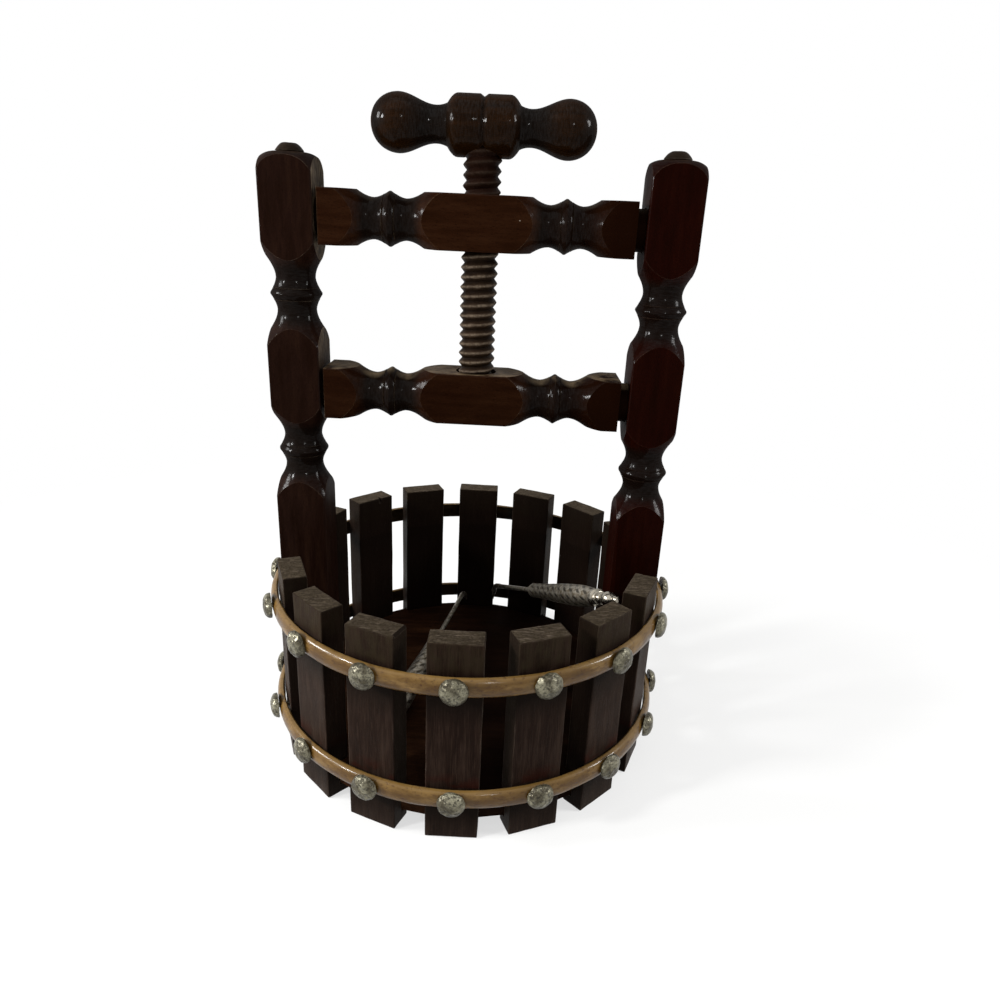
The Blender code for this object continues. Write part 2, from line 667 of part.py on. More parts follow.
def main():
    model = Model()
    tack_holes = build_tacks(model)
    low = FLOOR_TOP - FLOOR_THICKNESS - FIT
    groove = cylinder_mesh("groove", FLOOR_RADIUS + FIT, low, FLOOR_TOP + FIT, 3 * PLACES)
    build_staves(model, model.add_cutter("stave_groove", groove), tack_holes)
    build_floor(model)
    build_posts(model, tack_holes)
    build_hoops(model, tack_holes)
    build_bars(model)
    axis = bpy.data.objects.new("press_axis", None)
    model.parts.objects.link(axis)
    build_screw(model, axis)
    build_handle(model, axis)
    build_picks(model)


main()
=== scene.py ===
"""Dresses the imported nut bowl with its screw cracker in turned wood, cane and nickel.

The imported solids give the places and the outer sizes. Each sub-assembly below
models its visible pieces anew, finer than the solids, and gives them a finish.
Lengths are in metres, +Z is up and the front is -Y.
"""
from __future__ import annotations

import json
import logging
import math
from contextlib import contextmanager
from dataclasses import dataclass, field
from enum import Enum
from typing import Any, Iterable, Iterator, Sequence

import bpy
from mathutils import Matrix, Vector

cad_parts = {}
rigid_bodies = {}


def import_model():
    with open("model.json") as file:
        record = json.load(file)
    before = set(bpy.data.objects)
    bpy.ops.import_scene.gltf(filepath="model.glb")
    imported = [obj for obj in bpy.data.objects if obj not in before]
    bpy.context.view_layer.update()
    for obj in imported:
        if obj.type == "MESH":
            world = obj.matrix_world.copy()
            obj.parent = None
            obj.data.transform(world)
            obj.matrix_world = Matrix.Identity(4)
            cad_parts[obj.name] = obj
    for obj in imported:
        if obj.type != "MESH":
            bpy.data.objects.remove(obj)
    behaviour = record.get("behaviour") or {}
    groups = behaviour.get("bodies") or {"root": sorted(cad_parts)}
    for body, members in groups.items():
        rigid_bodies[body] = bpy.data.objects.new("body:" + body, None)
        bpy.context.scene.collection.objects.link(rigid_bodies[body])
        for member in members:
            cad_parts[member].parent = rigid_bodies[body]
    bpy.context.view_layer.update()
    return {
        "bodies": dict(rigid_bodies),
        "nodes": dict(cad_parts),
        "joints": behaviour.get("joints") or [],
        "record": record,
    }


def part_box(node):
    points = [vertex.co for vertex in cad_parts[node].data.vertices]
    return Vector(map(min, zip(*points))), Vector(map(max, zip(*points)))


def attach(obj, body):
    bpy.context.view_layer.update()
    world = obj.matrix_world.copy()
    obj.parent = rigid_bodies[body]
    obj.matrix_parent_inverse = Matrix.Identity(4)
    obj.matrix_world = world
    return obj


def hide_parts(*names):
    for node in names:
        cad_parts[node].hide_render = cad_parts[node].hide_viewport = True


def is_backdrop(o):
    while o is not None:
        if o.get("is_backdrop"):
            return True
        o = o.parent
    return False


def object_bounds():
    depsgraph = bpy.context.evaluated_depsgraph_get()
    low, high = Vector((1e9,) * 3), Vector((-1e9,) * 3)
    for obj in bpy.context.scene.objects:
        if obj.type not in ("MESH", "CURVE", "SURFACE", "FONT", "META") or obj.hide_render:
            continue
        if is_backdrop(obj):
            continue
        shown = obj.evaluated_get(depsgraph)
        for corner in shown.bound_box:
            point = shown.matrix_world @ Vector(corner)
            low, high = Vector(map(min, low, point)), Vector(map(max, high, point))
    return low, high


LOG = logging.getLogger("nut_bowl")
MM = 0.001
PLACES = 16          # round the ring: fourteen staves and two posts
PLANED = "planed"    # face attribute: 1 on the flat faces left by the plane, -1 on tenons
HOLLOW = "hollow"    # point attribute: 0 on the blank's surface, 1 at the bottom of a cove
BRIGHT = "bright"    # face attribute: 1 where the plating is still bright, -1 in grooves darkened with painted shade

Outline = list[tuple[float, float]]
Piece = bpy.types.Object
Material = bpy.types.Material
Socket = bpy.types.NodeSocket


class Side(Enum):
    """The two posts, by the sign of their X."""

    LEFT = -1
    RIGHT = 1

    @property
    def label(self) -> str:
        """The side's name in node names."""
        return self.name.lower()


class Level(Enum):
    """The two heights of hoops, tack rows and bars."""

    LOWER = "lower"
    UPPER = "upper"


class Grain(Enum):
    """The way that the fibres run, as an axis of the model."""

    X = 0
    Z = 2


# Node trees


def linear(code: str) -> tuple[float, float, float, float]:
    """Linear RGBA of an sRGB hex colour.

    Args:
        code: Six hex digits.

    Returns:
        The colour with an alpha of 1.
    """
    channels = [int(code[i : i + 2], 16) / 255 for i in (0, 2, 4)]
    red, green, blue = [c / 12.92 if c <= 0.04045 else ((c + 0.055) / 1.055) ** 2.4 for c in channels]
    return (red, green, blue, 1.0)


def add_node(tree: bpy.types.NodeTree, kind: str, values: dict[str, Any]) -> bpy.types.Node:
    """Adds a node with its settings and links.

    Args:
        tree: The tree that the node goes into.
        kind: The node's type without its "ShaderNode".
        values: Its properties and inputs. An input is named by its identifier and
            takes a number, a hex colour or the socket it is linked to. "stops" are
            the (place, colour) pairs of a colour ramp.

    Returns:
        The new node.
    """
    node = tree.nodes.new("ShaderNode" + kind)
    for key, value in values.items():
        sockets = {socket.identifier: socket for socket in node.inputs}
        if key == "stops":
            elements = node.color_ramp.elements
            for index, (place, code) in enumerate(value):
                element = elements[index] if index < 2 else elements.new(place)
                element.position = place
                element.color = linear(code)
        elif key not in sockets:
            setattr(node, key, value)
        elif isinstance(value, Socket):
            tree.links.new(value, sockets[key])
        else:
            sockets[key].default_value = linear(value) if isinstance(value, str) else value
    return node


def direct_rays(tree: bpy.types.NodeTree) -> Socket:
    """Picks out the rays that see a surface, and not those that light it.

    Args:
        tree: The tree that reads them.

    Returns:
        1 for rays from the camera, off gloss or through glass, otherwise 0.
    """
    rays = add_node(tree, "LightPath", {}).outputs
    seen = rays["Is Camera Ray"]
    for kind in ("Is Glossy Ray", "Is Transmission Ray"):
        either = add_node(tree, "Math", {"operation": "MAXIMUM", "Value": seen, "Value_001": rays[kind]})
        seen = either.outputs["Value"]
    return seen


class Surface:
    """A material's node tree while it is being made."""

    def __init__(self, name: str, grain: Grain = Grain.Z) -> None:
        """Starts an empty material.

        Args:
            name: The finish's name.
            grain: The way that its streaks run.
        """
        self.material = bpy.data.materials.new(name)
        self.material.use_nodes = True
        self.tree = self.material.node_tree
        self.tree.nodes.clear()
        self.grain = grain
        self.place = self.add("TexCoord", {}).outputs["Object"]
        self.at = self.add("SeparateXYZ", {"Vector": self.place}).outputs
        self.normal = self.add("NewGeometry", {}).outputs["Normal"]
        self.facing = self.add("SeparateXYZ", {"Vector": self.normal}).outputs
        self.unrolled = self.place    # what the streaks read; a bent piece sets its own

    def add(self, kind: str, values: dict[str, Any]) -> bpy.types.Node:
        """Adds a node to this surface; see add_node."""
        return add_node(self.tree, kind, values)

    def product(self, first: Socket, *others: Socket | float) -> Socket:
        """What is left of a mask after others are laid on it.

        Args:
            first: The mask.
            others: The other masks, or plain shares.

        Returns:
            Their product.
        """
        for other in others:
            values = {"operation": "MULTIPLY", "Value": first, "Value_001": other}
            first = self.add("Math", values).outputs["Value"]
        return first

    def flat(self) -> Socket:
        """The place without its height."""
        values = {"operation": "MULTIPLY", "Vector": self.place, "Vector_001": (1.0, 1.0, 0.0)}
        return self.add("VectorMath", values).outputs["Vector"]

    def radius(self) -> Socket:
        """The distance from the Z axis."""
        return self.add("VectorMath", {"operation": "LENGTH", "Vector": self.flat()}).outputs["Value"]

    def blots(self, size: float, detail: float, roughness: float = 0.5, distortion: float = 0.0) -> Socket:
        """Cloudy blots of a real size, even in all directions.

        Args:
            size: Size of its blots in metres.
            detail: Octaves of the noise.
            roughness: How strong the fine octaves are.
            distortion: How much it is stirred.

        Returns:
            The noise's value.
        """
        values = {"Vector": self.place, "Scale": 1 / size, "Detail": detail, "Roughness": roughness,
                  "Distortion": distortion}
        return self.add("TexNoise", values).outputs["Fac"]

    def streaks(self, across: float, along: float, detail: float = 3.0, shift: float = 0.0,
                roughness: float = 0.6) -> Socket:
        """Noise drawn out along the grain, or across it.

        Args:
            across: Size of a streak across the grain, in metres.
            along: Its size along the grain.
            detail: Octaves of the noise.
            shift: Moves the pattern, so two with the same sizes differ.
            roughness: How strong the fine octaves are.

        Returns:
            The noise's value.
        """
        scale = [1 / across] * 3
        scale[self.grain.value] = 1 / along
        values = {"Vector": self.unrolled, "Scale": scale, "Location": (shift, shift, shift)}
        mapped = self.add("Mapping", values).outputs["Vector"]
        values = {"Vector": mapped, "Scale": 1.0, "Detail": detail, "Roughness": roughness}
        return self.add("TexNoise", values).outputs["Fac"]

    def saw_marks(self, turn: float, scale: tuple[float, float, float], detail: float) -> Socket:
        """Noise drawn out at an angle, as a saw or a knock leaves it on the ends.

        Args:
            turn: The angle round Z, in radians.
            scale: Marks per metre along each axis.
            detail: Octaves of the noise.

        Returns:
            The noise's value.
        """
        values = {"Vector": self.place, "Rotation": (0.0, 0.0, turn), "Scale": scale}
        mapped = self.add("Mapping", values).outputs["Vector"]
        return self.add("TexNoise", {"Vector": mapped, "Scale": 1.0, "Detail": detail}).outputs["Fac"]

    def between(self, value: Socket, low: float, high: float, to_low: float = 0.0,
                to_high: float = 1.0) -> Socket:
        """Maps a value from one range to another, clamped.

        Args:
            value: What is mapped.
            low: Start of its range.
            high: End of its range.
            to_low: What the start becomes.
            to_high: What the end becomes.

        Returns:
            The mapped value.
        """
        values = {"Value": value, "From Min": low, "From Max": high, "To Min": to_low, "To Max": to_high}
        return self.add("MapRange", values).outputs["Result"]

    def tint(self, share: Socket, under: Socket | str, over: Socket | str) -> Socket:
        """Lays one colour over another.

        Args:
            share: How much of the upper colour shows, from 0 to 1.
            under: The lower colour.
            over: The upper colour.

        Returns:
            The mixed colour.
        """
        values = {"data_type": "RGBA", "Factor_Float": share, "A_Color": under, "B_Color": over}
        return self.add("Mix", values).outputs[2]

    def relief(self, height: Socket, depth: float, under: Socket | None = None) -> Socket:
        """A bump of a real depth.

        Args:
            height: The pattern, from 0 to 1.
            depth: Its depth in metres.
            under: The normal of a bump below this one.

        Returns:
            The bent normal.
        """
        values: dict[str, Any] = {"Height": height, "Distance": depth, "Strength": 1.0}
        if under is not None:
            values["Normal"] = under
        return self.add("Bump", values).outputs["Normal"]

    def edges(self, radius: float, low: float = 0.02, high: float = 0.22) -> Socket:
        """A mask of the outer and inner corners, where handling wears the finish.

        Args:
            radius: How far from the corner it reaches, in metres.
            low: Bend at which the mask starts.
            high: Bend at which it is full.

        Returns:
            The mask, from 0 to 1.
        """
        rounded = self.add("Bevel", {"samples": 4, "Radius": radius}).outputs["Normal"]
        likeness = self.add("VectorMath", {"operation": "DOT_PRODUCT", "Vector": rounded,
                                           "Vector_001": self.normal}).outputs["Value"]
        return self.between(likeness, 1.0 - low, 1.0 - high)

    def done(self, values: dict[str, Any]) -> Material:
        """Closes the tree with a Principled shader.

        Args:
            values: The shader's inputs.

        Returns:
            The finished material.
        """
        self.show(self.add("BsdfPrincipled", values).outputs["BSDF"])
        return self.material

    def show(self, shader: Socket) -> None:
        """Links a shader to the material's output."""
        output = self.add("OutputMaterial", {})
        self.tree.links.new(shader, output.inputs["Surface"])


# Finishes


class WoodSurface(Surface):
    """A wood's node tree, with what its layers read."""

    def __init__(self, wood: StainedWood) -> None:
        """Starts the tree.

        Args:
            wood: The finish in work.
        """
        super().__init__(wood.name, wood.grain)
        self.fibres = self.streaks(wood.fibre, wood.fibre_length, 4.0)
        fine = self.streaks(0.6 * wood.fibre, 0.4 * wood.fibre_length, 2.0, 3.1)
        self.pores = self.between(fine, 0.58, 0.7)
        self.clouds = self.blots(22 * MM, 3.0)
        self.planed = self.add("Attribute", {"attribute_name": PLANED}).outputs["Fac"]
        self.hollow = self.add("Attribute", {"attribute_name": HOLLOW}).outputs["Fac"]
        along = self.add("Math", {"operation": "ABSOLUTE", "Value": self.facing[wood.grain.value]})
        self.cut_end = self.between(along.outputs["Value"], 0.85, 0.97)


@dataclass(frozen=True)
class StainedWood:
    """Close-grained hardwood under a dark stain and a thin lacquer.

    The stain sinks deeper into the soft fibres, so fine streaks run along the
    grain; corners rub through to a paler tone.
    """

    name: str
    grain: Grain
    deep: str
    body: str
    pale: str
    worn: str
    end: str
    pooled: str = "090402"       # painted shade: inside the bowl, between the staves, on tenons and under the hoops
    cove_black: str = "0A0604"
    scuff: str = "6B5D4B"
    olive: str = "231D12"        # stain faded by light and dust
    smudge: str = "240A05"
    fresh: str = "150804"        # thread that still has its stain
    fleck: str = "A79E90"        # dust and dried polish
    fibre: float = 0.35 * MM     # real fibres are finer; drawn as coarse as they need to show
    fibre_length: float = 3.5 * MM
    streaked: float = 0.7        # share of pale fibres
    figure: float = 3.0 * MM
    figure_length: float = 22.0 * MM
    rough_low: float = 0.4
    rough_high: float = 0.6
    specular: float = 0.008
    coat: float = 0.0            # lacquer on turned faces; planed faces were rubbed down
    blackened: float = 0.9       # share of black stain caught in the coves
    coat_rough: float = 0.2
    ripple: float = 0.0          # depth of the lacquer's waves
    wear: float = 0.8
    wear_reach: float = 0.5 * MM
    relief: float = 0.05 * MM
    dusty: float = 0.0           # share of pale rubbing on top faces
    scuffs: float = 0.0          # share of pale scuffs on side faces
    scuffs_above: float = 150.0 * MM
    sheen: float = 0.0           # fine dust that shows at a low angle
    darker_beyond: float = 0.0   # X from which painted shade deepens the tone to the right, or 0
    darker_share: float = 0.95
    cut_marks: float = 0.4       # share of pale saw marks on the ends
    grime_below: tuple[float, ...] = ()         # heights under which a shadow is painted, the hoops' lower edges
    faded_above: float = 0.0     # height above which dust has turned the stain olive, or 0
    smudge_at: float = 0.0       # height of a smudged band, or 0 where there is none
    inside: float = 0.0          # radius of the bowl's inner faces, or 0 where there are none
    thread: tuple[float, float] = (0.0, 0.0)    # root and crest radius of a screw thread
    fresh_above: float = 200.0 * MM             # height above which the thread hasn't rubbed in its bore

    def stain(self, s: WoodSurface) -> Socket:
        """The stained wood's colour before wear.

        Args:
            s: The surface in work.

        Returns:
            The colour.
        """
        figure = s.streaks(self.figure, self.figure_length, 2.0, 7.3)
        stops = ((0.1, self.deep), (0.95, self.pale), (0.5, self.body))
        colour = s.add("ValToRGB", {"Fac": figure, "stops": stops}).outputs["Color"]
        colour = s.tint(s.between(s.fibres, 0.48, 0.7, 0.0, self.streaked), colour, self.pale)
        colour = s.tint(s.between(s.clouds, 0.45, 0.75, 0.0, 0.45), colour, self.deep)
        colour = s.tint(s.product(s.pores, 0.8), colour, self.deep)
        board = s.add("ObjectInfo", {}).outputs["Random"]
        colour = s.tint(s.between(board, 0.0, 1.0, 0.0, 0.3), colour, self.deep)
        if self.coat:
            coves = s.between(s.hollow, 0.0, 0.75, 0.0, self.blackened)
            colour = s.tint(coves, colour, self.cove_black)
            # Painted shade: the tenons are darkened, as they sit in the shade of the joints.
            colour = s.tint(s.between(s.planed, 0.0, -1.0, 0.0, 0.95), colour, self.pooled)
        return s.tint(s.cut_end, colour, self.end_grain(s))

    def end_grain(self, s: WoodSurface) -> Socket:
        """Sawn ends, where open pores and saw marks show.

        Args:
            s: The surface in work.

        Returns:
            The ends' colour.
        """
        marks = s.saw_marks(0.7, (300.0, 1500.0, 300.0), 4.0)
        colour = s.tint(s.between(marks, 0.4, 0.6, 0.3, 1.0), self.deep, self.end)
        colour = s.tint(s.between(s.blots(0.7 * MM, 4.0), 0.48, 0.6, 0.0, 0.7), colour, self.deep)
        nicks = s.saw_marks(0.9, (180.0, 2200.0, 180.0), 3.0)
        return s.tint(s.between(nicks, 0.6, 0.68, 0.0, self.cut_marks), colour, self.worn)

    def rub(self, s: WoodSurface, colour: Socket) -> Socket:
        """Rubs the corners through, raggedly along the grain.

        Args:
            s: The surface in work.
            colour: The colour so far.

        Returns:
            The new colour.
        """
        rubbed = s.product(
            s.edges(self.wear_reach),
            s.between(s.streaks(1.2 * MM, 4 * MM, 3.0, 5.7), 0.38, 0.62, 0.4, 1.0),
            s.between(s.streaks(9 * MM, 14 * MM, 2.0, 4.4), 0.4, 0.62, 0.35, 1.0),
            self.wear,
        )
        if self.coat:
            rubbed = s.product(rubbed, s.between(s.hollow, 0.1, 0.5, 1.0, 0.35))
        return s.tint(rubbed, colour, self.worn)

    def weather(self, s: WoodSurface, colour: Socket) -> Socket:
        """Lays on scuffs, dust, dirt, faded places and painted shade, where the finish has them.

        Args:
            s: The surface in work.
            colour: The colour so far.

        Returns:
            The new colour.
        """
        height = s.at["Z"]
        if self.scuffs:
            across = s.add("Math", {"operation": "ABSOLUTE", "Value": s.facing["X"]}).outputs["Value"]
            sideways = s.between(across, 0.8, 0.92)
            rubs = s.between(s.streaks(0.9 * MM, 5 * MM, 6.0, 8.8), 0.42, 0.62, 0.1, self.scuffs)
            high = s.between(height, self.scuffs_above, self.scuffs_above + 15 * MM)
            rubs = s.product(sideways, rubs, high, s.between(s.planed, 0.0, 1.0))
            colour = s.tint(rubs, colour, self.scuff)
        # Painted shade: the tone deepens beyond an X, where less light reaches.
        if self.darker_beyond:
            start = self.darker_beyond
            right = s.between(s.at["X"], start, start + 25 * MM, 0.0, self.darker_share)
            colour = s.tint(right, colour, self.deep)
        if self.dusty:
            patch = s.between(s.blots(5 * MM, 4.0), 0.35, 0.62, 0.0, self.dusty)
            colour = s.tint(s.product(s.between(s.facing["Z"], 0.75, 0.95), patch), colour, self.worn)
        # Painted shadow: a dark band on the staves just under each hoop.
        for edge in self.grime_below:
            band = s.product(s.between(height, edge - 14 * MM, edge - 4 * MM),
                             s.between(height, edge, edge + 0.3 * MM, 0.92, 0.0))
            colour = s.tint(band, colour, self.pooled)
        if self.faded_above:
            upper = s.between(height, self.faded_above, self.faded_above + 2 * MM)
            veil = s.between(s.streaks(2.5 * MM, 6 * MM, 4.0, 6.1), 0.35, 0.65, 0.15, 0.7)
            colour = s.tint(s.product(upper, veil), colour, self.olive)
        if self.smudge_at:
            edge = self.smudge_at
            band = s.product(s.between(height, edge, edge + 6 * MM, 1.0, 0.0),
                             s.between(height, edge - 1 * MM, edge))
            patch = s.between(s.blots(7 * MM, 4.0), 0.46, 0.58, 0.0, 0.85)
            colour = s.tint(s.product(band, patch), colour, self.smudge)
        return colour

    def pool(self, s: WoodSurface, colour: Socket) -> Socket:
        """Paints shade on the bowl's inner faces and on the staves' sides between them.

        Args:
            s: The surface in work.
            colour: The colour so far.

        Returns:
            The new colour.
        """
        outward = s.add("VectorMath", {"operation": "DOT_PRODUCT", "Vector": s.flat(),
                                       "Vector_001": s.normal}).outputs["Value"]
        inner = s.between(outward, -0.6 * self.inside, -0.9 * self.inside)
        # Painted shade on the faces that look into the bowl.
        colour = s.tint(s.product(inner, 0.85), colour, self.pooled)
        # Painted shade on the staves' sides, in the gaps between them.
        slant = s.add("Math", {"operation": "ABSOLUTE", "Value": outward}).outputs["Value"]
        sides = s.between(slant, 0.25 * self.inside, 0.45 * self.inside, 0.7, 0.0)
        return s.tint(s.product(sides, s.between(s.cut_end, 0.0, 1.0, 1.0, 0.0)), colour, self.pooled)

    def wear_thread(self, s: WoodSurface, colour: Socket) -> Socket:
        """Darkens the roots of a thread and wears its crests, up to where it leaves the bore.

        Args:
            s: The surface in work.
            colour: The colour so far.

        Returns:
            The new colour.
        """
        root, crest = self.thread
        radius = s.radius()
        colour = s.tint(s.between(radius, root + 0.15 * MM, crest - 0.35 * MM, 0.9, 0.0), colour, self.deep)
        rubbed = s.product(
            s.between(radius, crest - 0.45 * MM, crest - 0.05 * MM, 0.0, 0.85),
            s.between(s.pores, 0.0, 1.0, 1.0, 0.4),
            s.between(s.blots(1.1 * MM, 4.0, 0.7), 0.4, 0.6, 0.35, 1.0),
        )
        colour = s.tint(rubbed, colour, self.worn)
        fresh = s.between(s.at["Z"], self.fresh_above, self.fresh_above + 12 * MM, 0.0, 0.88)
        return s.tint(fresh, colour, self.fresh)

    def add_flecks(self, s: WoodSurface, colour: Socket) -> Socket:
        """Drops a few specks of dust and dried polish, one cell in fifteen.

        Args:
            s: The surface in work.
            colour: The colour so far.

        Returns:
            The new colour.
        """
        cells = s.add("TexVoronoi", {"Vector": s.place, "Scale": 1 / (7 * MM)})
        draw = s.add("SeparateXYZ", {"Vector": cells.outputs["Color"]}).outputs["X"]
        chosen = s.between(draw, 0.93, 0.94)
        speck = s.between(cells.outputs["Distance"], 0.035, 0.05, 1.0, 0.0)
        return s.tint(s.product(speck, chosen, 0.7), colour, self.fleck)

    def lacquer(self, s: WoodSurface) -> dict[str, Any]:
        """The coat, broken by the lathe's marks and weaker at a low angle.

        Args:
            s: The surface in work.

        Returns:
            The shader's inputs for it.
        """
        marks = s.streaks(2.2 * MM, 0.45 * MM, 3.0, 0.0, 0.65)
        slant = s.add("LayerWeight", {"Blend": 0.5}).outputs["Facing"]
        weight = s.product(
            s.between(s.planed, 0.0, 1.0, self.coat, 0.05 * self.coat),
            s.between(s.planed, -1.0, 0.0),
            s.between(slant, 0.3, 0.75, 1.0, 0.1),    # the white surroundings would wash out the rims
            s.between(marks, 0.4, 0.6, 0.25, 1.0),
        )
        waves = s.relief(s.blots(1.8 * MM, 4.0), self.ripple)
        return {"Coat Weight": weight, "Coat Roughness": self.coat_rough,
                "Coat Normal": s.relief(marks, 0.25 * self.ripple, waves)}

    def make(self) -> Material:
        """Builds the finish.

        Returns:
            The material.
        """
        s = WoodSurface(self)
        colour = self.weather(s, self.rub(s, self.stain(s)))
        if self.inside:
            colour = self.pool(s, colour)
        if self.thread[1]:
            colour = self.wear_thread(s, colour)
        if self.coat or self.inside:
            colour = self.add_flecks(s, colour)
        rough = s.between(s.clouds, 0.3, 0.7, self.rough_low, self.rough_high)
        rough = s.add("Math", {"operation": "MULTIPLY_ADD", "Value": s.cut_end, "Value_001": 0.3,
                               "Value_002": rough, "use_clamp": True})
        bump = s.relief(s.fibres, self.relief)
        values = {
            "Base Color": colour,
            "Roughness": rough.outputs["Value"],
            "Specular IOR Level": self.specular,
            "Normal": s.relief(s.between(s.pores, 0.0, 1.0, 1.0, 0.0), 0.8 * self.relief, bump),
        }
        if self.coat:
            values.update(self.lacquer(s))
        if self.sheen:
            values.update({"Sheen Weight": self.sheen, "Sheen Roughness": 0.45, "Sheen Tint": "B9A999"})
        return s.done(values)


@dataclass(frozen=True)
class VarnishedCane:
    """Half-round rattan under old varnish: long golden fibres with brown burnt patches."""

    name: str = "varnished_cane"
    gold: str = "4D350D"
    pale: str = "70572F"
    brown: str = "3A2506"
    burnt: str = "2C1104"
    inside: str = "0C0603"       # painted shade on the flat inner side
    ring: float = 78.0 * MM      # radius on which the streaks are laid out
    coat: float = 0.32
    coat_rough: float = 0.14

    def make(self) -> Material:
        """Builds the finish, with its streaks running round the ring.

        Returns:
            The material.
        """
        s = Surface(self.name, Grain.X)
        turn = s.add("Math", {"operation": "ARCTAN2", "Value": s.at["Y"], "Value_001": s.at["X"]})
        along = s.product(turn.outputs["Value"], self.ring)
        s.unrolled = s.add("CombineXYZ", {"X": along, "Z": s.at["Z"]}).outputs["Vector"]
        fibres = s.streaks(0.5 * MM, 9 * MM, 4.0)
        patches = s.streaks(4 * MM, 11 * MM, 5.0, 2.2)
        stops = ((0.32, self.brown), (0.68, self.pale), (0.5, self.gold))
        colour = s.add("ValToRGB", {"Fac": patches, "stops": stops}).outputs["Color"]
        colour = s.tint(s.between(fibres, 0.3, 0.7, 0.4, 0.0), colour, self.brown)
        burns = s.between(s.streaks(1.3 * MM, 2.6 * MM, 3.0, 9.4), 0.6, 0.7, 0.0, 0.6)
        colour = s.tint(burns, colour, self.burnt)
        # Painted light and shade: the upper edge is lightened and the lower edge darkened, as if lit from
        # above.
        colour = s.tint(s.between(s.facing["Z"], 0.1, 0.8, 0.0, 0.65), colour, self.pale)
        colour = s.tint(s.between(s.facing["Z"], -0.1, -0.8, 0.0, 0.45), colour, self.brown)
        specks = s.between(s.streaks(0.7 * MM, 1.4 * MM, 3.0, 5.5), 0.56, 0.66, 0.0, 0.5)
        colour = s.tint(specks, colour, self.burnt)
        # Painted shade: the flat side, facing the staves, is darkened.
        outward = s.add("VectorMath", {"operation": "DOT_PRODUCT", "Vector": s.place,
                                       "Vector_001": s.normal}).outputs["Value"]
        colour = s.tint(s.between(outward, 0.0, -0.05, 0.0, 0.9), colour, self.inside)
        bump = s.relief(s.streaks(2.4 * MM, 6 * MM, 4.0, 1.7), 0.4 * MM, s.relief(fibres, 0.08 * MM))
        return s.done({"Base Color": colour, "Roughness": s.between(patches, 0.3, 0.7, 0.3, 0.45),
                       "Specular IOR Level": 0.08, "Normal": bump,
                       "Coat Weight": self.coat, "Coat Roughness": self.coat_rough})


@dataclass(frozen=True)
class AntiqueNickel:
    """Nickel-plated steel, hammered and toned: bright bosses, dark in the dimples."""

    name: str = "antique_nickel"
    bright: str = "7C7865"
    toned: str = "464132"
    grime: str = "1A150C"
    dimple: float = 1.5 * MM
    metallic: float = 0.45       # tarnish hides about half of the metal

    def make(self) -> Material:
        """Builds the finish.

        Returns:
            The material.
        """
        s = Surface(self.name)
        dimples = s.add("TexVoronoi", {"Vector": s.place, "feature": "SMOOTH_F1", "Scale": 1 / self.dimple,
                                       "Smoothness": 0.25}).outputs["Distance"]
        creases = s.blots(0.8 * MM, 4.0, 0.6, 0.6)
        colour = s.tint(s.between(s.blots(4 * MM, 3.0), 0.38, 0.62), self.bright, self.toned)
        colour = s.tint(s.between(creases, 0.54, 0.38, 0.0, 0.8), colour, self.grime)
        colour = s.tint(s.between(dimples, 0.3, 0.05, 0.0, 0.5), colour, self.grime)
        # Painted shade: the underside and the lower rim are darkened, so the dome looks lit from above.
        colour = s.tint(s.between(s.facing["Z"], 0.1, -0.75, 0.0, 0.75), colour, self.grime)
        # Painted shade along the rim's corners.
        colour = s.tint(s.product(s.edges(0.5 * MM, 0.05, 0.5), 0.5), colour, self.grime)
        bump = s.relief(creases, 0.16 * MM, s.relief(dimples, 0.45 * MM))
        return s.done({"Base Color": colour, "Roughness": s.between(creases, 0.4, 0.65, 0.42, 0.22),
                       "Metallic": self.metallic, "Specular IOR Level": 0.3, "Normal": bump})


@dataclass(frozen=True)
class PolishedSteel:
    """Plated steel of the picks: toned on the grip, bright on ball and beads."""

    name: str = "polished_steel"
    bright: str = "9A9488"
    toned: str = "5E5444"
    grime: str = "201B13"

    def make(self) -> Material:
        """Builds the finish.

        Returns:
            The material.
        """
        s = Surface(self.name)
        tone, scratches = s.blots(1.6 * MM, 4.0), s.blots(0.35 * MM, 2.0)
        shine = s.add("Attribute", {"attribute_name": BRIGHT}).outputs["Fac"]
        rubbed, groove = s.between(shine, 0.0, 1.0), s.between(shine, 0.0, -1.0)
        colour = s.tint(s.between(tone, 0.35, 0.65), self.bright, self.toned)
        colour = s.tint(s.product(s.between(scratches, 0.5, 0.65), 0.35), colour, self.grime)
        # Painted shade in the grip's grooves.
        colour = s.tint(s.product(groove, 0.85), colour, self.grime)
        colour = s.tint(s.product(rubbed, 0.7), colour, self.bright)
        rough = s.add("Math", {"operation": "SUBTRACT", "Value": s.between(tone, 0.3, 0.7, 0.36, 0.5),
                               "Value_001": s.product(rubbed, 0.2)})
        return s.done({"Base Color": colour, "Roughness": rough.outputs["Value"], "Metallic": 1.0,
                       "Normal": s.relief(scratches, 0.02 * MM)})


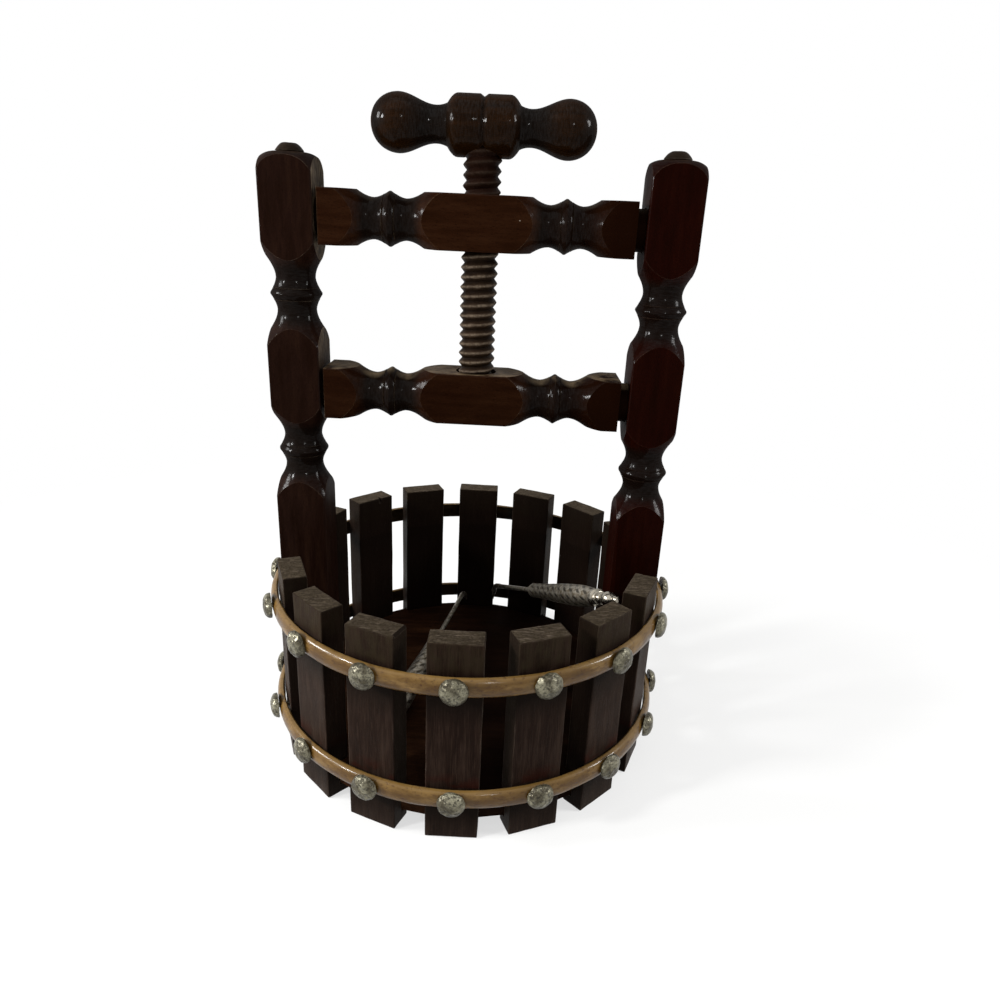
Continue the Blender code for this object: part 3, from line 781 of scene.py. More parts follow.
class Finishes:
    """Every finish of the object, made once."""

    def __init__(self) -> None:
        """Builds the materials."""
        self.staves = StainedWood(
            "walnut_stained_staves", Grain.Z, deep="0D0503", body="180D08", pale="32261F", worn="85776A",
            end="453C30", fibre_length=10 * MM, rough_low=0.42, specular=0.02, sheen=0.1, wear=1.0,
            wear_reach=0.65 * MM, smudge_at=22.8 * MM, inside=67.3 * MM,
            grime_below=tuple(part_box(f"hoop_{level.value}")[0].z for level in Level),
            faded_above=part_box("hoop_upper")[1].z,
        ).make()
        self.floor_board = StainedWood(
            "walnut_stained_floor", Grain.X, deep="080403", body="2C190D", pale="40291A", worn="4A3A2C",
            end="2B2018", streaked=0.4, rough_low=0.5, rough_high=0.7, darker_beyond=-18 * MM,
            darker_share=0.75,
        ).make()
        lacquer = {
            "coat": 0.11, "coat_rough": 0.12, "ripple": 0.05 * MM, "streaked": 0.2, "wear": 0.55,
            "wear_reach": 0.3 * MM, "relief": 0.025 * MM, "cut_marks": 0.1,
        }
        self.post_wood = {
            Side.LEFT: StainedWood(
                "lacquered_post_left", Grain.Z, deep="0D0401", body="170B07", pale="26170F", worn="8A7A68",
                end="2A1F17", scuffs=0.8, **lacquer,
            ).make(),
            Side.RIGHT: StainedWood(
                "lacquered_post_right", Grain.Z, deep="0B0200", body="150301", pale="1F0803", worn="705A4C",
                end="2A1C14", **lacquer,
            ).make(),
        }
        self.bar_wood = {
            level: StainedWood(
                f"lacquered_bar_{level.value}", Grain.X, deep="0E0300", body="1F0E05", pale="2D1A0D",
                worn="7C6A52", end="2C2018", dusty=0.5 if level is Level.LOWER else 0.12,
                darker_beyond=22 * MM, **lacquer,
            ).make() for level in Level
        }
        self.handle_wood = StainedWood(
            "gloss_lacquered_handle", Grain.X, deep="070200", body="140801", pale="261304", worn="5A4434",
            end="241408", coat=0.14, coat_rough=0.1, ripple=0.04 * MM, streaked=0.2, wear=0.5,
            wear_reach=0.3 * MM, relief=0.02 * MM,
        ).make()
        self.screw_wood = StainedWood(
            "worn_screw_wood", Grain.Z, deep="0E0703", body="291D13", pale="3C2F24", worn="6A5D4F",
            end="463C30", specular=0.03, wear=0.4, wear_reach=0.4 * MM, relief=0.06 * MM,
            thread=(5.45 * MM, 6.7 * MM),
        ).make()
        self.button_wood = StainedWood(
            "worn_button_wood", Grain.Z, deep="0C0804", body="1E150D", pale="2E241A", worn="50463A",
            end="2C241B", specular=0.03,
        ).make()
        self.dowel_wood = StainedWood(
            "bare_birch_dowel", Grain.Z, deep="7A5C3A", body="A88458", pale="C4A378", worn="C9AC84",
            end="B89468", rough_low=0.55, rough_high=0.7,
        ).make()
        self.cane = VarnishedCane().make()
        self.nickel = AntiqueNickel().make()
        self.steel = PolishedSteel().make()


# Bench tools


class Bench:
    """The modelling steps, each done with Blender's own operators."""

    @staticmethod
    def take(*objects: Piece) -> None:
        """Deselects everything, then selects these.

        Args:
            objects: The pieces; the first one becomes the active one.
        """
        bpy.ops.object.select_all(action="DESELECT")
        for obj in objects:
            obj.select_set(True)
        bpy.context.view_layer.objects.active = objects[0] if objects else None

    @staticmethod
    def added(name: str) -> Piece:
        """Names the object that an operator has just added.

        Args:
            name: Its name, which its data gets too.

        Returns:
            The object.
        """
        obj = bpy.context.object
        obj.name = obj.data.name = name
        return obj

    @staticmethod
    @contextmanager
    def editing(obj: Piece, everything: bool = True) -> Iterator[None]:
        """Edit mode on one piece, for the length of a with block.

        Args:
            obj: The piece.
            everything: Whether all of it is selected first; otherwise its own
                selection stays.

        Yields:
            Nothing.
        """
        Bench.take(obj)
        bpy.ops.object.mode_set(mode="EDIT")
        if everything:
            bpy.ops.mesh.select_all(action="SELECT")
        yield
        bpy.ops.object.mode_set(mode="OBJECT")

    @staticmethod
    def fix_place(obj: Piece) -> None:
        """Puts the object's place and turn into its mesh."""
        Bench.take(obj)
        bpy.ops.object.transform_apply(location=True, rotation=True, scale=True)

    @staticmethod
    def block(name: str, low: Sequence[float], high: Sequence[float]) -> Piece:
        """A squared blank between two corners.

        Args:
            name: The piece's name.
            low: Its lowest corner.
            high: Its highest corner.

        Returns:
            The new object.
        """
        Bench.take()
        low_corner, high_corner = Vector(low), Vector(high)
        bpy.ops.mesh.primitive_cube_add(size=1.0, location=(low_corner + high_corner) / 2)
        obj = Bench.added(name)
        obj.scale = high_corner - low_corner
        Bench.fix_place(obj)
        return obj

    @staticmethod
    def rod(name: str, radius: float, low: float, high: float, steps: int = 48) -> Piece:
        """An upright round blank between two heights on the Z axis."""
        return Bench.lathe(name, [(0.0, high), (radius, high), (radius, low), (0.0, low)], steps)

    @staticmethod
    def outline(name: str, points: Outline) -> Piece:
        """A line of (radius, height) points, extruded point by point.

        Args:
            name: The piece's name.
            points: The line, with radius along +X and height along +Z.

        Returns:
            The new object, still a bare line.
        """
        Bench.take()
        bpy.ops.mesh.primitive_plane_add(size=MM)
        obj = Bench.added(name)
        bpy.context.tool_settings.mesh_select_mode = (True, False, False)
        with Bench.editing(obj):
            bpy.ops.mesh.merge(type="CENTER")
            bpy.ops.transform.translate(value=(points[0][0], 0.0, points[0][1]))
            for (radius, height), (next_radius, next_height) in zip(points, points[1:]):
                step = (next_radius - radius, 0.0, next_height - height)
                bpy.ops.mesh.extrude_vertices_move(TRANSFORM_OT_translate={"value": step})
        return obj

    @staticmethod
    def weld(obj: Piece, distance: float = 0.002 * MM) -> None:
        """Merges doubles and turns the faces outwards.

        Args:
            obj: The piece.
            distance: How close doubles lie, in metres.
        """
        with Bench.editing(obj):
            bpy.ops.mesh.remove_doubles(threshold=distance)
            bpy.ops.mesh.normals_make_consistent(inside=False)

    @staticmethod
    def lathe(name: str, points: Outline, steps: int) -> Piece:
        """Spins an outline round the Z axis, as on a lathe.

        Args:
            name: The piece's name.
            points: (radius, height) points; a closed solid starts and ends at radius 0
                or closes on itself.
            steps: Facets round the axis.

        Returns:
            The turned object.
        """
        obj = Bench.outline(name, points)
        with Bench.editing(obj):
            bpy.ops.mesh.spin(steps=steps, angle=math.tau, center=(0, 0, 0), axis=(0, 0, 1))
        Bench.weld(obj)
        return obj

    @staticmethod
    def apply(obj: Piece) -> None:
        """Applies every modifier of a piece, in order.

        Args:
            obj: The piece.
        """
        Bench.take(obj)
        for modifier in list(obj.modifiers):
            bpy.ops.object.modifier_apply(modifier=modifier.name)

    @staticmethod
    def soften(obj: Piece, width: float, steps: int = 2, angle: float = 40.0) -> None:
        """Rounds the corners sharper than an angle.

        Args:
            obj: The piece.
            width: Width of the rounding in metres.
            steps: Facets across it.
            angle: The angle in degrees.
        """
        bevel = obj.modifiers.new("soften", "BEVEL")
        bevel.width = width
        bevel.segments = steps
        bevel.limit_method = "ANGLE"
        bevel.angle_limit = math.radians(angle)
        bevel.use_clamp_overlap = False
        Bench.apply(obj)

    @staticmethod
    def carve(obj: Piece, tool: Piece, operation: str = "DIFFERENCE") -> None:
        """Cuts with, keeps inside or joins another solid.

        Args:
            obj: The piece.
            tool: The other solid, which is used up.
            operation: Blender's name of the boolean.
        """
        cut = obj.modifiers.new("carve", "BOOLEAN")
        cut.operation = operation
        cut.object = tool
        cut.solver = "EXACT"
        Bench.apply(obj)
        bpy.data.objects.remove(tool, do_unlink=True)

    @staticmethod
    def roughen(obj: Piece, depth: float, size: float, kind: str = "CLOUDS") -> None:
        """Moves the surface in and out by a cloudy or cellular pattern.

        Args:
            obj: The piece, with enough points to follow the pattern.
            depth: Full depth in metres.
            size: Size of the pattern in metres.
            kind: Blender's texture type.
        """
        texture = bpy.data.textures.new(obj.name + "_relief", kind)
        texture.noise_scale = size
        displace = obj.modifiers.new("roughen", "DISPLACE")
        displace.texture = texture
        displace.texture_coords = "GLOBAL"
        displace.strength = depth
        displace.mid_level = 0.5
        Bench.apply(obj)
        bpy.data.textures.remove(texture)

    @staticmethod
    def mark_hollows(obj: Piece, outer: float, inner: float, rings: Sequence[float] = (),
                     reach: float = 0.0) -> None:
        """Notes how deep each point of a turned piece on the Z axis lies in a cove.

        Args:
            obj: The piece.
            outer: Radius at which a hollow starts.
            inner: Radius at its bottom.
            rings: Heights of ridges, which count as part of their coves.
            reach: Half of a ridge's width.
        """
        hollow = obj.data.attributes.new(HOLLOW, "FLOAT", "POINT")
        for vertex, value in zip(obj.data.vertices, hollow.data):
            share = (outer - math.hypot(vertex.co.x, vertex.co.y)) / (outer - inner)
            if any(abs(vertex.co.z - ring) < reach for ring in rings):
                share = max(share, 0.7)
            value.value = min(1.0, max(0.0, share))

    @staticmethod
    def smooth(obj: Piece, angle: float = 32.0) -> None:
        """Shades smooth, with corners kept sharp above an angle."""
        Bench.take(obj)
        bpy.ops.object.shade_smooth_by_angle(angle=math.radians(angle))

    @staticmethod
    def copy(obj: Piece, name: str) -> Piece:
        """A copy with a mesh of its own.

        Args:
            obj: What is copied.
            name: The copy's name.

        Returns:
            The copy.
        """
        twin = obj.copy()
        twin.data = obj.data.copy()
        twin.name = twin.data.name = name
        bpy.context.scene.collection.objects.link(twin)
        return twin


def dress(obj: Piece, material: Material) -> None:
    """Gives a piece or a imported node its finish.

    Args:
        obj: The piece.
        material: Its finish.
    """
    obj.data.materials.clear()
    obj.data.materials.append(material)
    LOG.info("%s: %s, %d faces", obj.name, material.name, len(obj.data.polygons))


def fit_out(obj: Piece, material: Material, body: str, node: str) -> None:
    """Gives a finished piece its finish, its body and the node it stands for.

    Args:
        obj: The piece.
        material: Its finish.
        body: The body it rides on.
        node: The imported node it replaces.
    """
    Bench.fix_place(obj)
    dress(obj, material)
    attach(obj, body)
    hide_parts(node)


def sweep(low: float, high: float, share: float) -> float:
    """A smooth S-shaped way from one value to another."""
    return low + (high - low) * (1 - math.cos(math.pi * share)) / 2


def steps_to(count: int, first: int = 0) -> Iterable[float]:
    """Even shares from 0, or from the first step, to 1."""
    return (index / count for index in range(first, count + 1))


# Solids that stay


@dataclass
class KeptSolids:
    """The flat floor disc, and the dowel that is hidden in the screw's head."""

    finishes: Finishes
    nodes: dict[str, Piece]

    def build(self) -> None:
        """Dresses both."""
        dress(self.nodes["floor_disc"], self.finishes.floor_board)
        dress(self.nodes["screw_dowel"], self.finishes.dowel_wood)


# The bowl


@dataclass
class StaveRing:
    """Fourteen flat staves with worn edges and a groove for the floor."""

    finishes: Finishes
    edge: float = 0.4 * MM
    clearance: float = 0.3 * MM
    wander: float = 0.35 * MM
    wander_size: float = 9.0 * MM
    cuts: int = 9                # so that the board can follow the unevenness
    nicked: str = "stave_front_3"
    split: str = "stave_back_6"

    def names(self) -> dict[int, str]:
        """The staves by their place on the ring, counted from the right post.

        Returns:
            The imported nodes' names.
        """
        half = PLACES // 2
        found = {place: f"stave_back_{place}" for place in range(1, half)}
        found.update({place: f"stave_front_{place - half}" for place in range(half + 1, PLACES)})
        return found

    def chip(self, board: Piece, name: str, high: Vector) -> None:
        """Breaks a splinter out of the two staves that lost one.

        Args:
            board: The stave, still on the +X side.
            name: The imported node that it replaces.
            high: The front stave's upper corner, for its width and height.
        """
        if name == self.split:
            half, turn = Vector((2.0, 0.7, 2.2)) * MM, (0.25, 0.5, 0.3)
            place = (66.6 * MM, -0.3 * high.x, high.z)
        elif name == self.nicked:
            half, turn = Vector((4.0, 1.6, 1.2)) * MM, (-0.7, 0.1, 0.1)
            place = (71.0 * MM, high.x + 0.5 * MM, high.z + 0.3 * MM)
        else:
            return
        notch = Bench.block("notch", -half, half)
        notch.location, notch.rotation_euler = place, turn
        Bench.fix_place(notch)
        Bench.carve(board, notch)

    def board(self, name: str, angle: float) -> Piece:
        """One stave, planed, rounded and a little uneven.

        Args:
            name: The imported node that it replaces.
            angle: Its place round the bowl, in radians.

        Returns:
            The finished mesh in place.
        """
        low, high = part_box("stave_front_4")
        inside, outside, half = -high.y, -low.y, high.x
        obj = Bench.block(name + "_board", (inside, -half, self.wander / 2), (outside, half, high.z))
        with Bench.editing(obj):
            bpy.ops.mesh.subdivide(number_cuts=self.cuts)
        Bench.soften(obj, self.edge, 3, 60)
        self.chip(obj, name, high)
        floor_low, floor_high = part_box("floor_disc")
        groove = Bench.rod("groove", floor_high.y + self.clearance, floor_low.z - self.clearance,
                           floor_high.z + self.clearance, 96)
        obj.rotation_euler.z = angle
        Bench.fix_place(obj)
        Bench.carve(obj, groove)
        return obj

    def build(self) -> None:
        """Builds and dresses every stave."""
        for place, name in self.names().items():
            board = self.board(name, place * math.tau / PLACES)
            Bench.roughen(board, self.wander, self.wander_size)
            Bench.smooth(board)
            fit_out(board, self.finishes.staves, "well", name)


@dataclass
class Hoops:
    """Two half-round canes round the staves, each with a slanted scarf joint behind."""

    finishes: Finishes
    round_steps: int = 176
    section_steps: int = 14
    crown: float = math.radians(86)       # how far round the half-round goes
    fullness: float = 0.6                 # below 1, so the crown is fuller than a circle
    edge: float = 0.35 * MM
    clearance: float = 0.35 * MM
    joint: float = 0.35 * MM
    joint_place: float = 3.5              # on the ring of places, behind the bowl
    joint_slant: float = math.radians(35)
    wander: float = 0.35 * MM
    wander_size: float = 13.0 * MM

    def section(self, inside: float, outside: float, half: float) -> Outline:
        """The half-round outline of the cane, flat side in.

        Args:
            inside: Radius of the flat side.
            outside: Radius of the crown.
            half: Half of the cane's width.

        Returns:
            The closed outline.
        """
        angles = [self.crown * (1 - 2 * share) for share in steps_to(self.section_steps)]
        crown = [(inside + (outside - inside) * math.cos(angle) ** self.fullness, half * math.sin(angle))
                 for angle in angles]
        flat = half - self.edge
        return [(inside, flat), *crown, (inside, -flat), (inside, flat)]

    def build(self) -> None:
        """Builds and dresses both hoops."""
        stave_low, stave_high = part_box("stave_front_4")
        inside = math.hypot(stave_low.y, stave_high.x) + self.clearance
        for level in Level:
            low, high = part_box(f"hoop_{level.value}")
            half, middle = (high.z - low.z) / 2, (high.z + low.z) / 2
            section = self.section(inside, high.x, half)
            hoop = Bench.lathe(f"cane_hoop_{level.value}", section, self.round_steps)
            hoop.location.z = middle
            Bench.fix_place(hoop)
            Bench.roughen(hoop, self.wander, self.wander_size)
            reach = Vector((3 * half, self.joint / 2, 3 * half))
            slit = Bench.block("slit", -reach, reach)
            angle = self.joint_place * math.tau / PLACES
            slit.location = (high.x * math.cos(angle), high.x * math.sin(angle), middle)
            slit.rotation_euler = (self.joint_slant, 0, angle + math.pi / 2)
            Bench.fix_place(slit)
            Bench.carve(hoop, slit)
            Bench.smooth(hoop)
            fit_out(hoop, self.finishes.cane, "well", f"hoop_{level.value}")


@dataclass
class TackRows:
    """Two rows of hammered dome tacks, each one struck a little differently."""

    finishes: Finishes
    radius: float = 4.9 * MM
    height: float = 3.0 * MM
    rim: float = 0.45 * MM
    shank: float = 0.9 * MM
    length: float = 10.0 * MM
    facet: float = 2.2 * MM
    facet_depth: float = 0.4 * MM
    turn: float = 2.4            # from one tack to the next, in radians

    def dome(self) -> Piece:
        """The pattern tack: its shank points down, its dome up.

        Returns:
            The pattern, to be copied.
        """
        points: Outline = [(0.0, self.height)]
        for share in steps_to(9, 1):
            angle = math.radians(84) * share
            rise = (self.height - self.rim) * math.cos(angle)
            points.append((self.radius * math.sin(angle) ** 0.9, self.rim + rise))
        points += [(self.radius, 0.0), (0.8 * self.radius, 0.0), (self.shank, 0.1 * MM),
                   (self.shank, 1.5 * MM - self.length), (0.0, -self.length)]
        return Bench.lathe("tack_pattern", points, 28)

    def build(self) -> None:
        """Copies the pattern to every place and hammers each copy."""
        pattern = self.dome()
        crown = -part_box("tack_lower_13")[0].y
        for level in Level:
            for place in range(PLACES):
                name = f"tack_{level.value}_{place + 1:02d}"
                low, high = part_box(name)
                angle = place * math.tau / PLACES
                out = Vector((math.cos(angle), math.sin(angle), 0.0))
                tack = Bench.copy(pattern, name + "_dome")
                seat = out * (crown - self.height - self.facet_depth / 2)
                seat.z = (low.z + high.z) / 2
                outwards = Matrix.Rotation(angle, 4, "Z") @ Matrix.Rotation(math.pi / 2, 4, "Y")
                struck = Matrix.Rotation(self.turn * place, 4, "Z")
                tack.matrix_world = Matrix.Translation(seat) @ outwards @ struck
                Bench.fix_place(tack)
                Bench.roughen(tack, self.facet_depth, self.facet, "VORONOI")
                Bench.smooth(tack, 50)
                fit_out(tack, self.finishes.nickel, "well", name)
        bpy.data.objects.remove(pattern, do_unlink=True)


# Turned posts and bars


@dataclass
class Turning:
    """The ring turned into squares: a ridge between coves, then an ogee out to the square."""

    cove: float = 7.05 * MM
    cove_offset: float = 5.6 * MM
    ogee: float = 15.4 * MM
    ridge_inset: float = 0.1 * MM
    flank_power: float = 1.56
    crest: float = 0.35 * MM
    steps: int = 14

    def ring(self, centre: float, side: float) -> Outline:
        """The outline of one ring from its upper to its lower ogee.

        Args:
            centre: Height of the ridge.
            side: Side of the square.

        Returns:
            (radius, height) points from top to bottom.
        """
        ridge = side / 2 - self.ridge_inset
        outside = self.clear(side)
        upper = [(sweep(self.cove, outside, 1 - share), self.cove_offset + self.ogee * (1 - share))
                 for share in steps_to(self.steps)]
        for share in (0.2, 0.4, 0.55):
            radius = self.cove + (ridge - self.cove) * share ** self.flank_power
            upper.append((radius, self.crest + (self.cove_offset - self.crest) * (1 - share)))
        # A scored line sets the ridge off from its flanks.
        radius = self.cove + (ridge - self.cove) * 0.68 ** self.flank_power
        mark = self.crest + (self.cove_offset - self.crest) * 0.34
        upper += [(radius, mark), (radius - 0.18 * MM, mark - 0.12 * MM),
                  (radius + 0.1 * MM, mark - 0.3 * MM), (radius + 0.45 * (ridge - radius), 0.55 * mark),
                  (ridge, self.crest)]
        lower = [(radius, -height) for radius, height in reversed(upper)]
        return [(radius, centre + height) for radius, height in upper + [(ridge + 0.06 * MM, 0.0)] + lower]

    @staticmethod
    def clear(side: float) -> float:
        """A radius that clears the square's corners."""
        return side / math.sqrt(2) + 0.3 * MM

    def square(self, name: str, side: float, low: float, high: float, outline: Outline,
               rings: Sequence[float], stub: float = 1.0) -> Piece:
        """A squared blank cut to a turned outline, on the Z axis.

        Args:
            name: The piece's name.
            side: Side of the square.
            low: Lower end of the blank.
            high: Upper end of the blank.
            outline: The turned outline.
            rings: Heights of its ridges.
            stub: Distance beyond which the ends are tenons, darkened with painted shade.

        Returns:
            The turned piece.
        """
        half = side / 2
        blank = Bench.block(name, (-half, -half, low), (half, half, high))
        Bench.soften(blank, 0.4 * MM, 2, 60)
        Bench.carve(blank, Bench.lathe("turning", outline, 128), "INTERSECT")
        Bench.weld(blank, 0.01 * MM)
        Bench.mark_hollows(blank, half, self.cove, rings, self.cove_offset)
        planed = blank.data.attributes.new(PLANED, "FLOAT", "FACE")
        for face, value in zip(blank.data.polygons, planed.data):
            value.value = float(max(abs(face.center.x), abs(face.center.y)) > half - 0.02 * MM)
            if abs(face.center.z) > stub:
                value.value = -1.0
        return blank


@dataclass
class Posts:
    """Two turned square posts with rounded caps."""

    finishes: Finishes
    turning: Turning = field(default_factory=Turning)
    ridges: dict[Side, tuple[float, float]] = field(default_factory=lambda: {
        Side.LEFT: (177.8 * MM, 119.0 * MM), Side.RIGHT: (177.6 * MM, 116.0 * MM)})
    cap_flat: float = 5.2 * MM
    cap_drop: float = 9.2 * MM
    tenon: float = 7.55 * MM
    tenon_depth: float = 11.3 * MM
    groove_depth: float = 4.5 * MM
    clearance: float = 0.3 * MM

    def outline(self, side: Side, width: float, top: float) -> Outline:
        """The post's outline from its cap to its foot.

        Args:
            side: Which post.
            width: Side of its square.
            top: Height of its cap.

        Returns:
            (radius, height) points from top to bottom.
        """
        outside = self.turning.clear(width)
        points: Outline = [(0.0, top), (self.cap_flat, top)]
        for share in steps_to(14, 1):
            angle = share * math.pi / 2
            points.append((self.cap_flat + (outside - self.cap_flat) * math.sin(angle),
                           top - self.cap_drop * (1 - math.cos(angle))))
        for ridge in self.ridges[side]:
            points += self.turning.ring(ridge, width)
        return points + [(outside, -MM), (0.0, -MM)]

    def build(self) -> None:
        """Builds and dresses both posts."""
        for side in Side:
            node = f"post_{side.label}"
            low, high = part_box(node)
            width, middle = high.x - low.x, (low.x + high.x) / 2
            outline = self.outline(side, width, high.z)
            post = self.turning.square(f"turned_{node}", width, 0.0, high.z + MM, outline, self.ridges[side])
            post.location.x = middle
            Bench.fix_place(post)
            inner = min(abs(low.x), abs(high.x))
            floor_low, floor_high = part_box("floor_disc")
            ends = sorted((side.value * (inner - MM), side.value * (inner + self.groove_depth)))
            groove = Bench.block("groove", (ends[0], -width, floor_low.z - self.clearance),
                                 (ends[1], width, floor_high.z + self.clearance))
            Bench.carve(post, groove)
            for level in Level:
                bar_low, bar_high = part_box(f"bar_{level.value}")
                mortise = Bench.rod("mortise", self.tenon, inner - MM, inner + self.tenon_depth)
                mortise.rotation_euler.y = side.value * math.pi / 2
                mortise.location.z = (bar_low.z + bar_high.z) / 2
                Bench.fix_place(mortise)
                Bench.carve(post, mortise)
            Bench.smooth(post, 30)
            fit_out(post, self.finishes.post_wood[side], "well", node)


@dataclass
class PostButtons:
    """Flattened mushroom plugs on the caps of the posts."""

    finishes: Finishes
    stem: float = 2.5 * MM
    lift: float = 0.3 * MM       # the button stands a little proud of the cap
    crown: float = 0.35          # share of the radius that is nearly flat
    wander: float = 0.3 * MM
    wander_size: float = 3.5 * MM

    def build(self) -> None:
        """Builds and dresses both buttons."""
        for side in Side:
            node = f"button_{side.label}"
            low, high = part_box(node)
            post_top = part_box(f"post_{side.label}")[1].z
            radius, rise = (high.x - low.x) / 2, high.z - post_top - self.lift
            points: Outline = [(0.0, rise)]
            for share in steps_to(12, 3):
                drop = max(0.0, (share - self.crown) / (1 - self.crown)) ** 1.9
                points.append((radius * share, rise * (1 - drop)))
            foot, root = -0.1 * MM, low.z - post_top
            points += [(0.9 * radius, foot), (self.stem, foot), (self.stem, root), (0.0, root)]
            button = Bench.lathe(f"turned_{node}", points, 40)
            button.location = ((low.x + high.x) / 2, 0.0, post_top + self.lift)
            Bench.fix_place(button)
            Bench.roughen(button, self.wander, self.wander_size)
            Bench.smooth(button, 50)
            fit_out(button, self.finishes.button_wood, "well", node)


@dataclass
class CrossBars:
    """Two turned bars: the upper one bored for the screw, the lower one with its seat."""

    finishes: Finishes
    turning: Turning = field(default_factory=Turning)
    gap_left: float = 1.55 * MM
    gap_right: float = 3.55 * MM
    shoulder_to_ridge: float = 23.95 * MM
    tenon: float = 7.25 * MM
    bore: float = 7.0 * MM
    seat: float = 7.6 * MM
    seat_depth: float = 4.0 * MM

    def shoulders(self) -> tuple[float, float]:
        """Places of the left and right shoulders along the bar."""
        inner = min(abs(value) for value in (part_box("post_left")[1].x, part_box("post_right")[0].x))
        return self.gap_left - inner, inner - self.gap_right

    def outline(self, width: float, reach: float) -> Outline:
        """The bar's outline from its right tenon to its left one.

        Args:
            width: Side of its square.
            reach: Distance from the middle to a tenon's end.

        Returns:
            (radius, position) points.
        """
        left, right = self.shoulders()
        outside = self.turning.clear(width)
        points: Outline = [(0.0, reach), (self.tenon, reach), (self.tenon, right), (outside, right)]
        points += self.turning.ring(right - self.shoulder_to_ridge, width)
        points += self.turning.ring(left + self.shoulder_to_ridge, width)
        return points + [(outside, left), (self.tenon, left), (self.tenon, -reach), (0.0, -reach)]

    def build(self) -> None:
        """Builds and dresses both bars."""
        for level in Level:
            node = f"bar_{level.value}"
            low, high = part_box(node)
            width, reach, middle = high.y - low.y, high.x, (low.z + high.z) / 2
            left, right = self.shoulders()
            rings = (right - self.shoulder_to_ridge, left + self.shoulder_to_ridge)
            bar = self.turning.square(f"turned_{node}", width, -reach - MM, reach + MM,
                                      self.outline(width, reach), rings, right + 0.05 * MM)
            bar.rotation_euler.y = math.pi / 2
            bar.location.z = middle
            Bench.fix_place(bar)
            if level is Level.UPPER:
                Bench.carve(bar, Bench.rod("bore", self.bore, low.z - MM, high.z + MM, 64))
            else:
                Bench.carve(bar, Bench.rod("seat", self.seat, high.z - self.seat_depth, high.z + MM, 64))
            Bench.smooth(bar, 30)
            fit_out(bar, self.finishes.bar_wood[level], "well", node)


# The press


@dataclass
class PressScrew:
    """The wooden screw with its worn right-handed thread."""

    finishes: Finishes
    pitch: float = 3.4 * MM
    depth: float = 1.25 * MM
    chamfer: float = 1.4 * MM
    dowel: float = 2.3 * MM
    dowel_depth: float = 14.3 * MM
    wander: float = 0.32 * MM
    wander_size: float = 2.2 * MM
    round_steps: int = 56

    def tooth(self, radius: float, start: float) -> Outline:
        """One pitch of the thread, from root to root.

        Args:
            radius: Radius of the crest.
            start: Height of the first root.

        Returns:
            (radius, height) points upwards.
        """
        points: Outline = []
        for share in steps_to(8):
            lift = 0.65 * (1 - abs(2 * share - 1)) + 0.35 * (1 - math.cos(math.tau * share)) / 2
            points.append((radius - self.depth * (1 - lift), start + self.pitch * share))
        return points

    def build(self) -> None:
        """Builds and dresses the screw."""
        low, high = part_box("press_screw")
        radius = high.x
        turns = math.ceil((high.z - low.z) / self.pitch) + 5
        screw = Bench.outline("threaded_press_screw", self.tooth(radius, low.z - 2 * self.pitch))
        thread = screw.modifiers.new("thread", "SCREW")
        thread.angle = math.tau
        thread.screw_offset = self.pitch
        thread.iterations = turns
        thread.steps = thread.render_steps = self.round_steps
        Bench.apply(screw)
        Bench.weld(screw)
        for height, below in ((low.z, True), (high.z, False)):
            with Bench.editing(screw):
                bpy.ops.mesh.bisect(plane_co=(0, 0, height), plane_no=(0, 0, 1), use_fill=True,
                                    clear_inner=below, clear_outer=not below)
        Bench.weld(screw)
        clear, top = radius + MM, high.z + MM
        tip: Outline = [(0.0, top), (clear, top), (clear, low.z + self.chamfer + MM),
                        (radius - self.chamfer, low.z), (0.0, low.z)]
        Bench.carve(screw, Bench.lathe("tip", tip, 64), "INTERSECT")
        Bench.carve(screw, Bench.rod("dowel_hole", self.dowel, high.z - self.dowel_depth, high.z + MM, 24))
        Bench.roughen(screw, self.wander, self.wander_size)
        Bench.smooth(screw, 40)
        fit_out(screw, self.finishes.screw_wood, "press_turn", "press_screw")


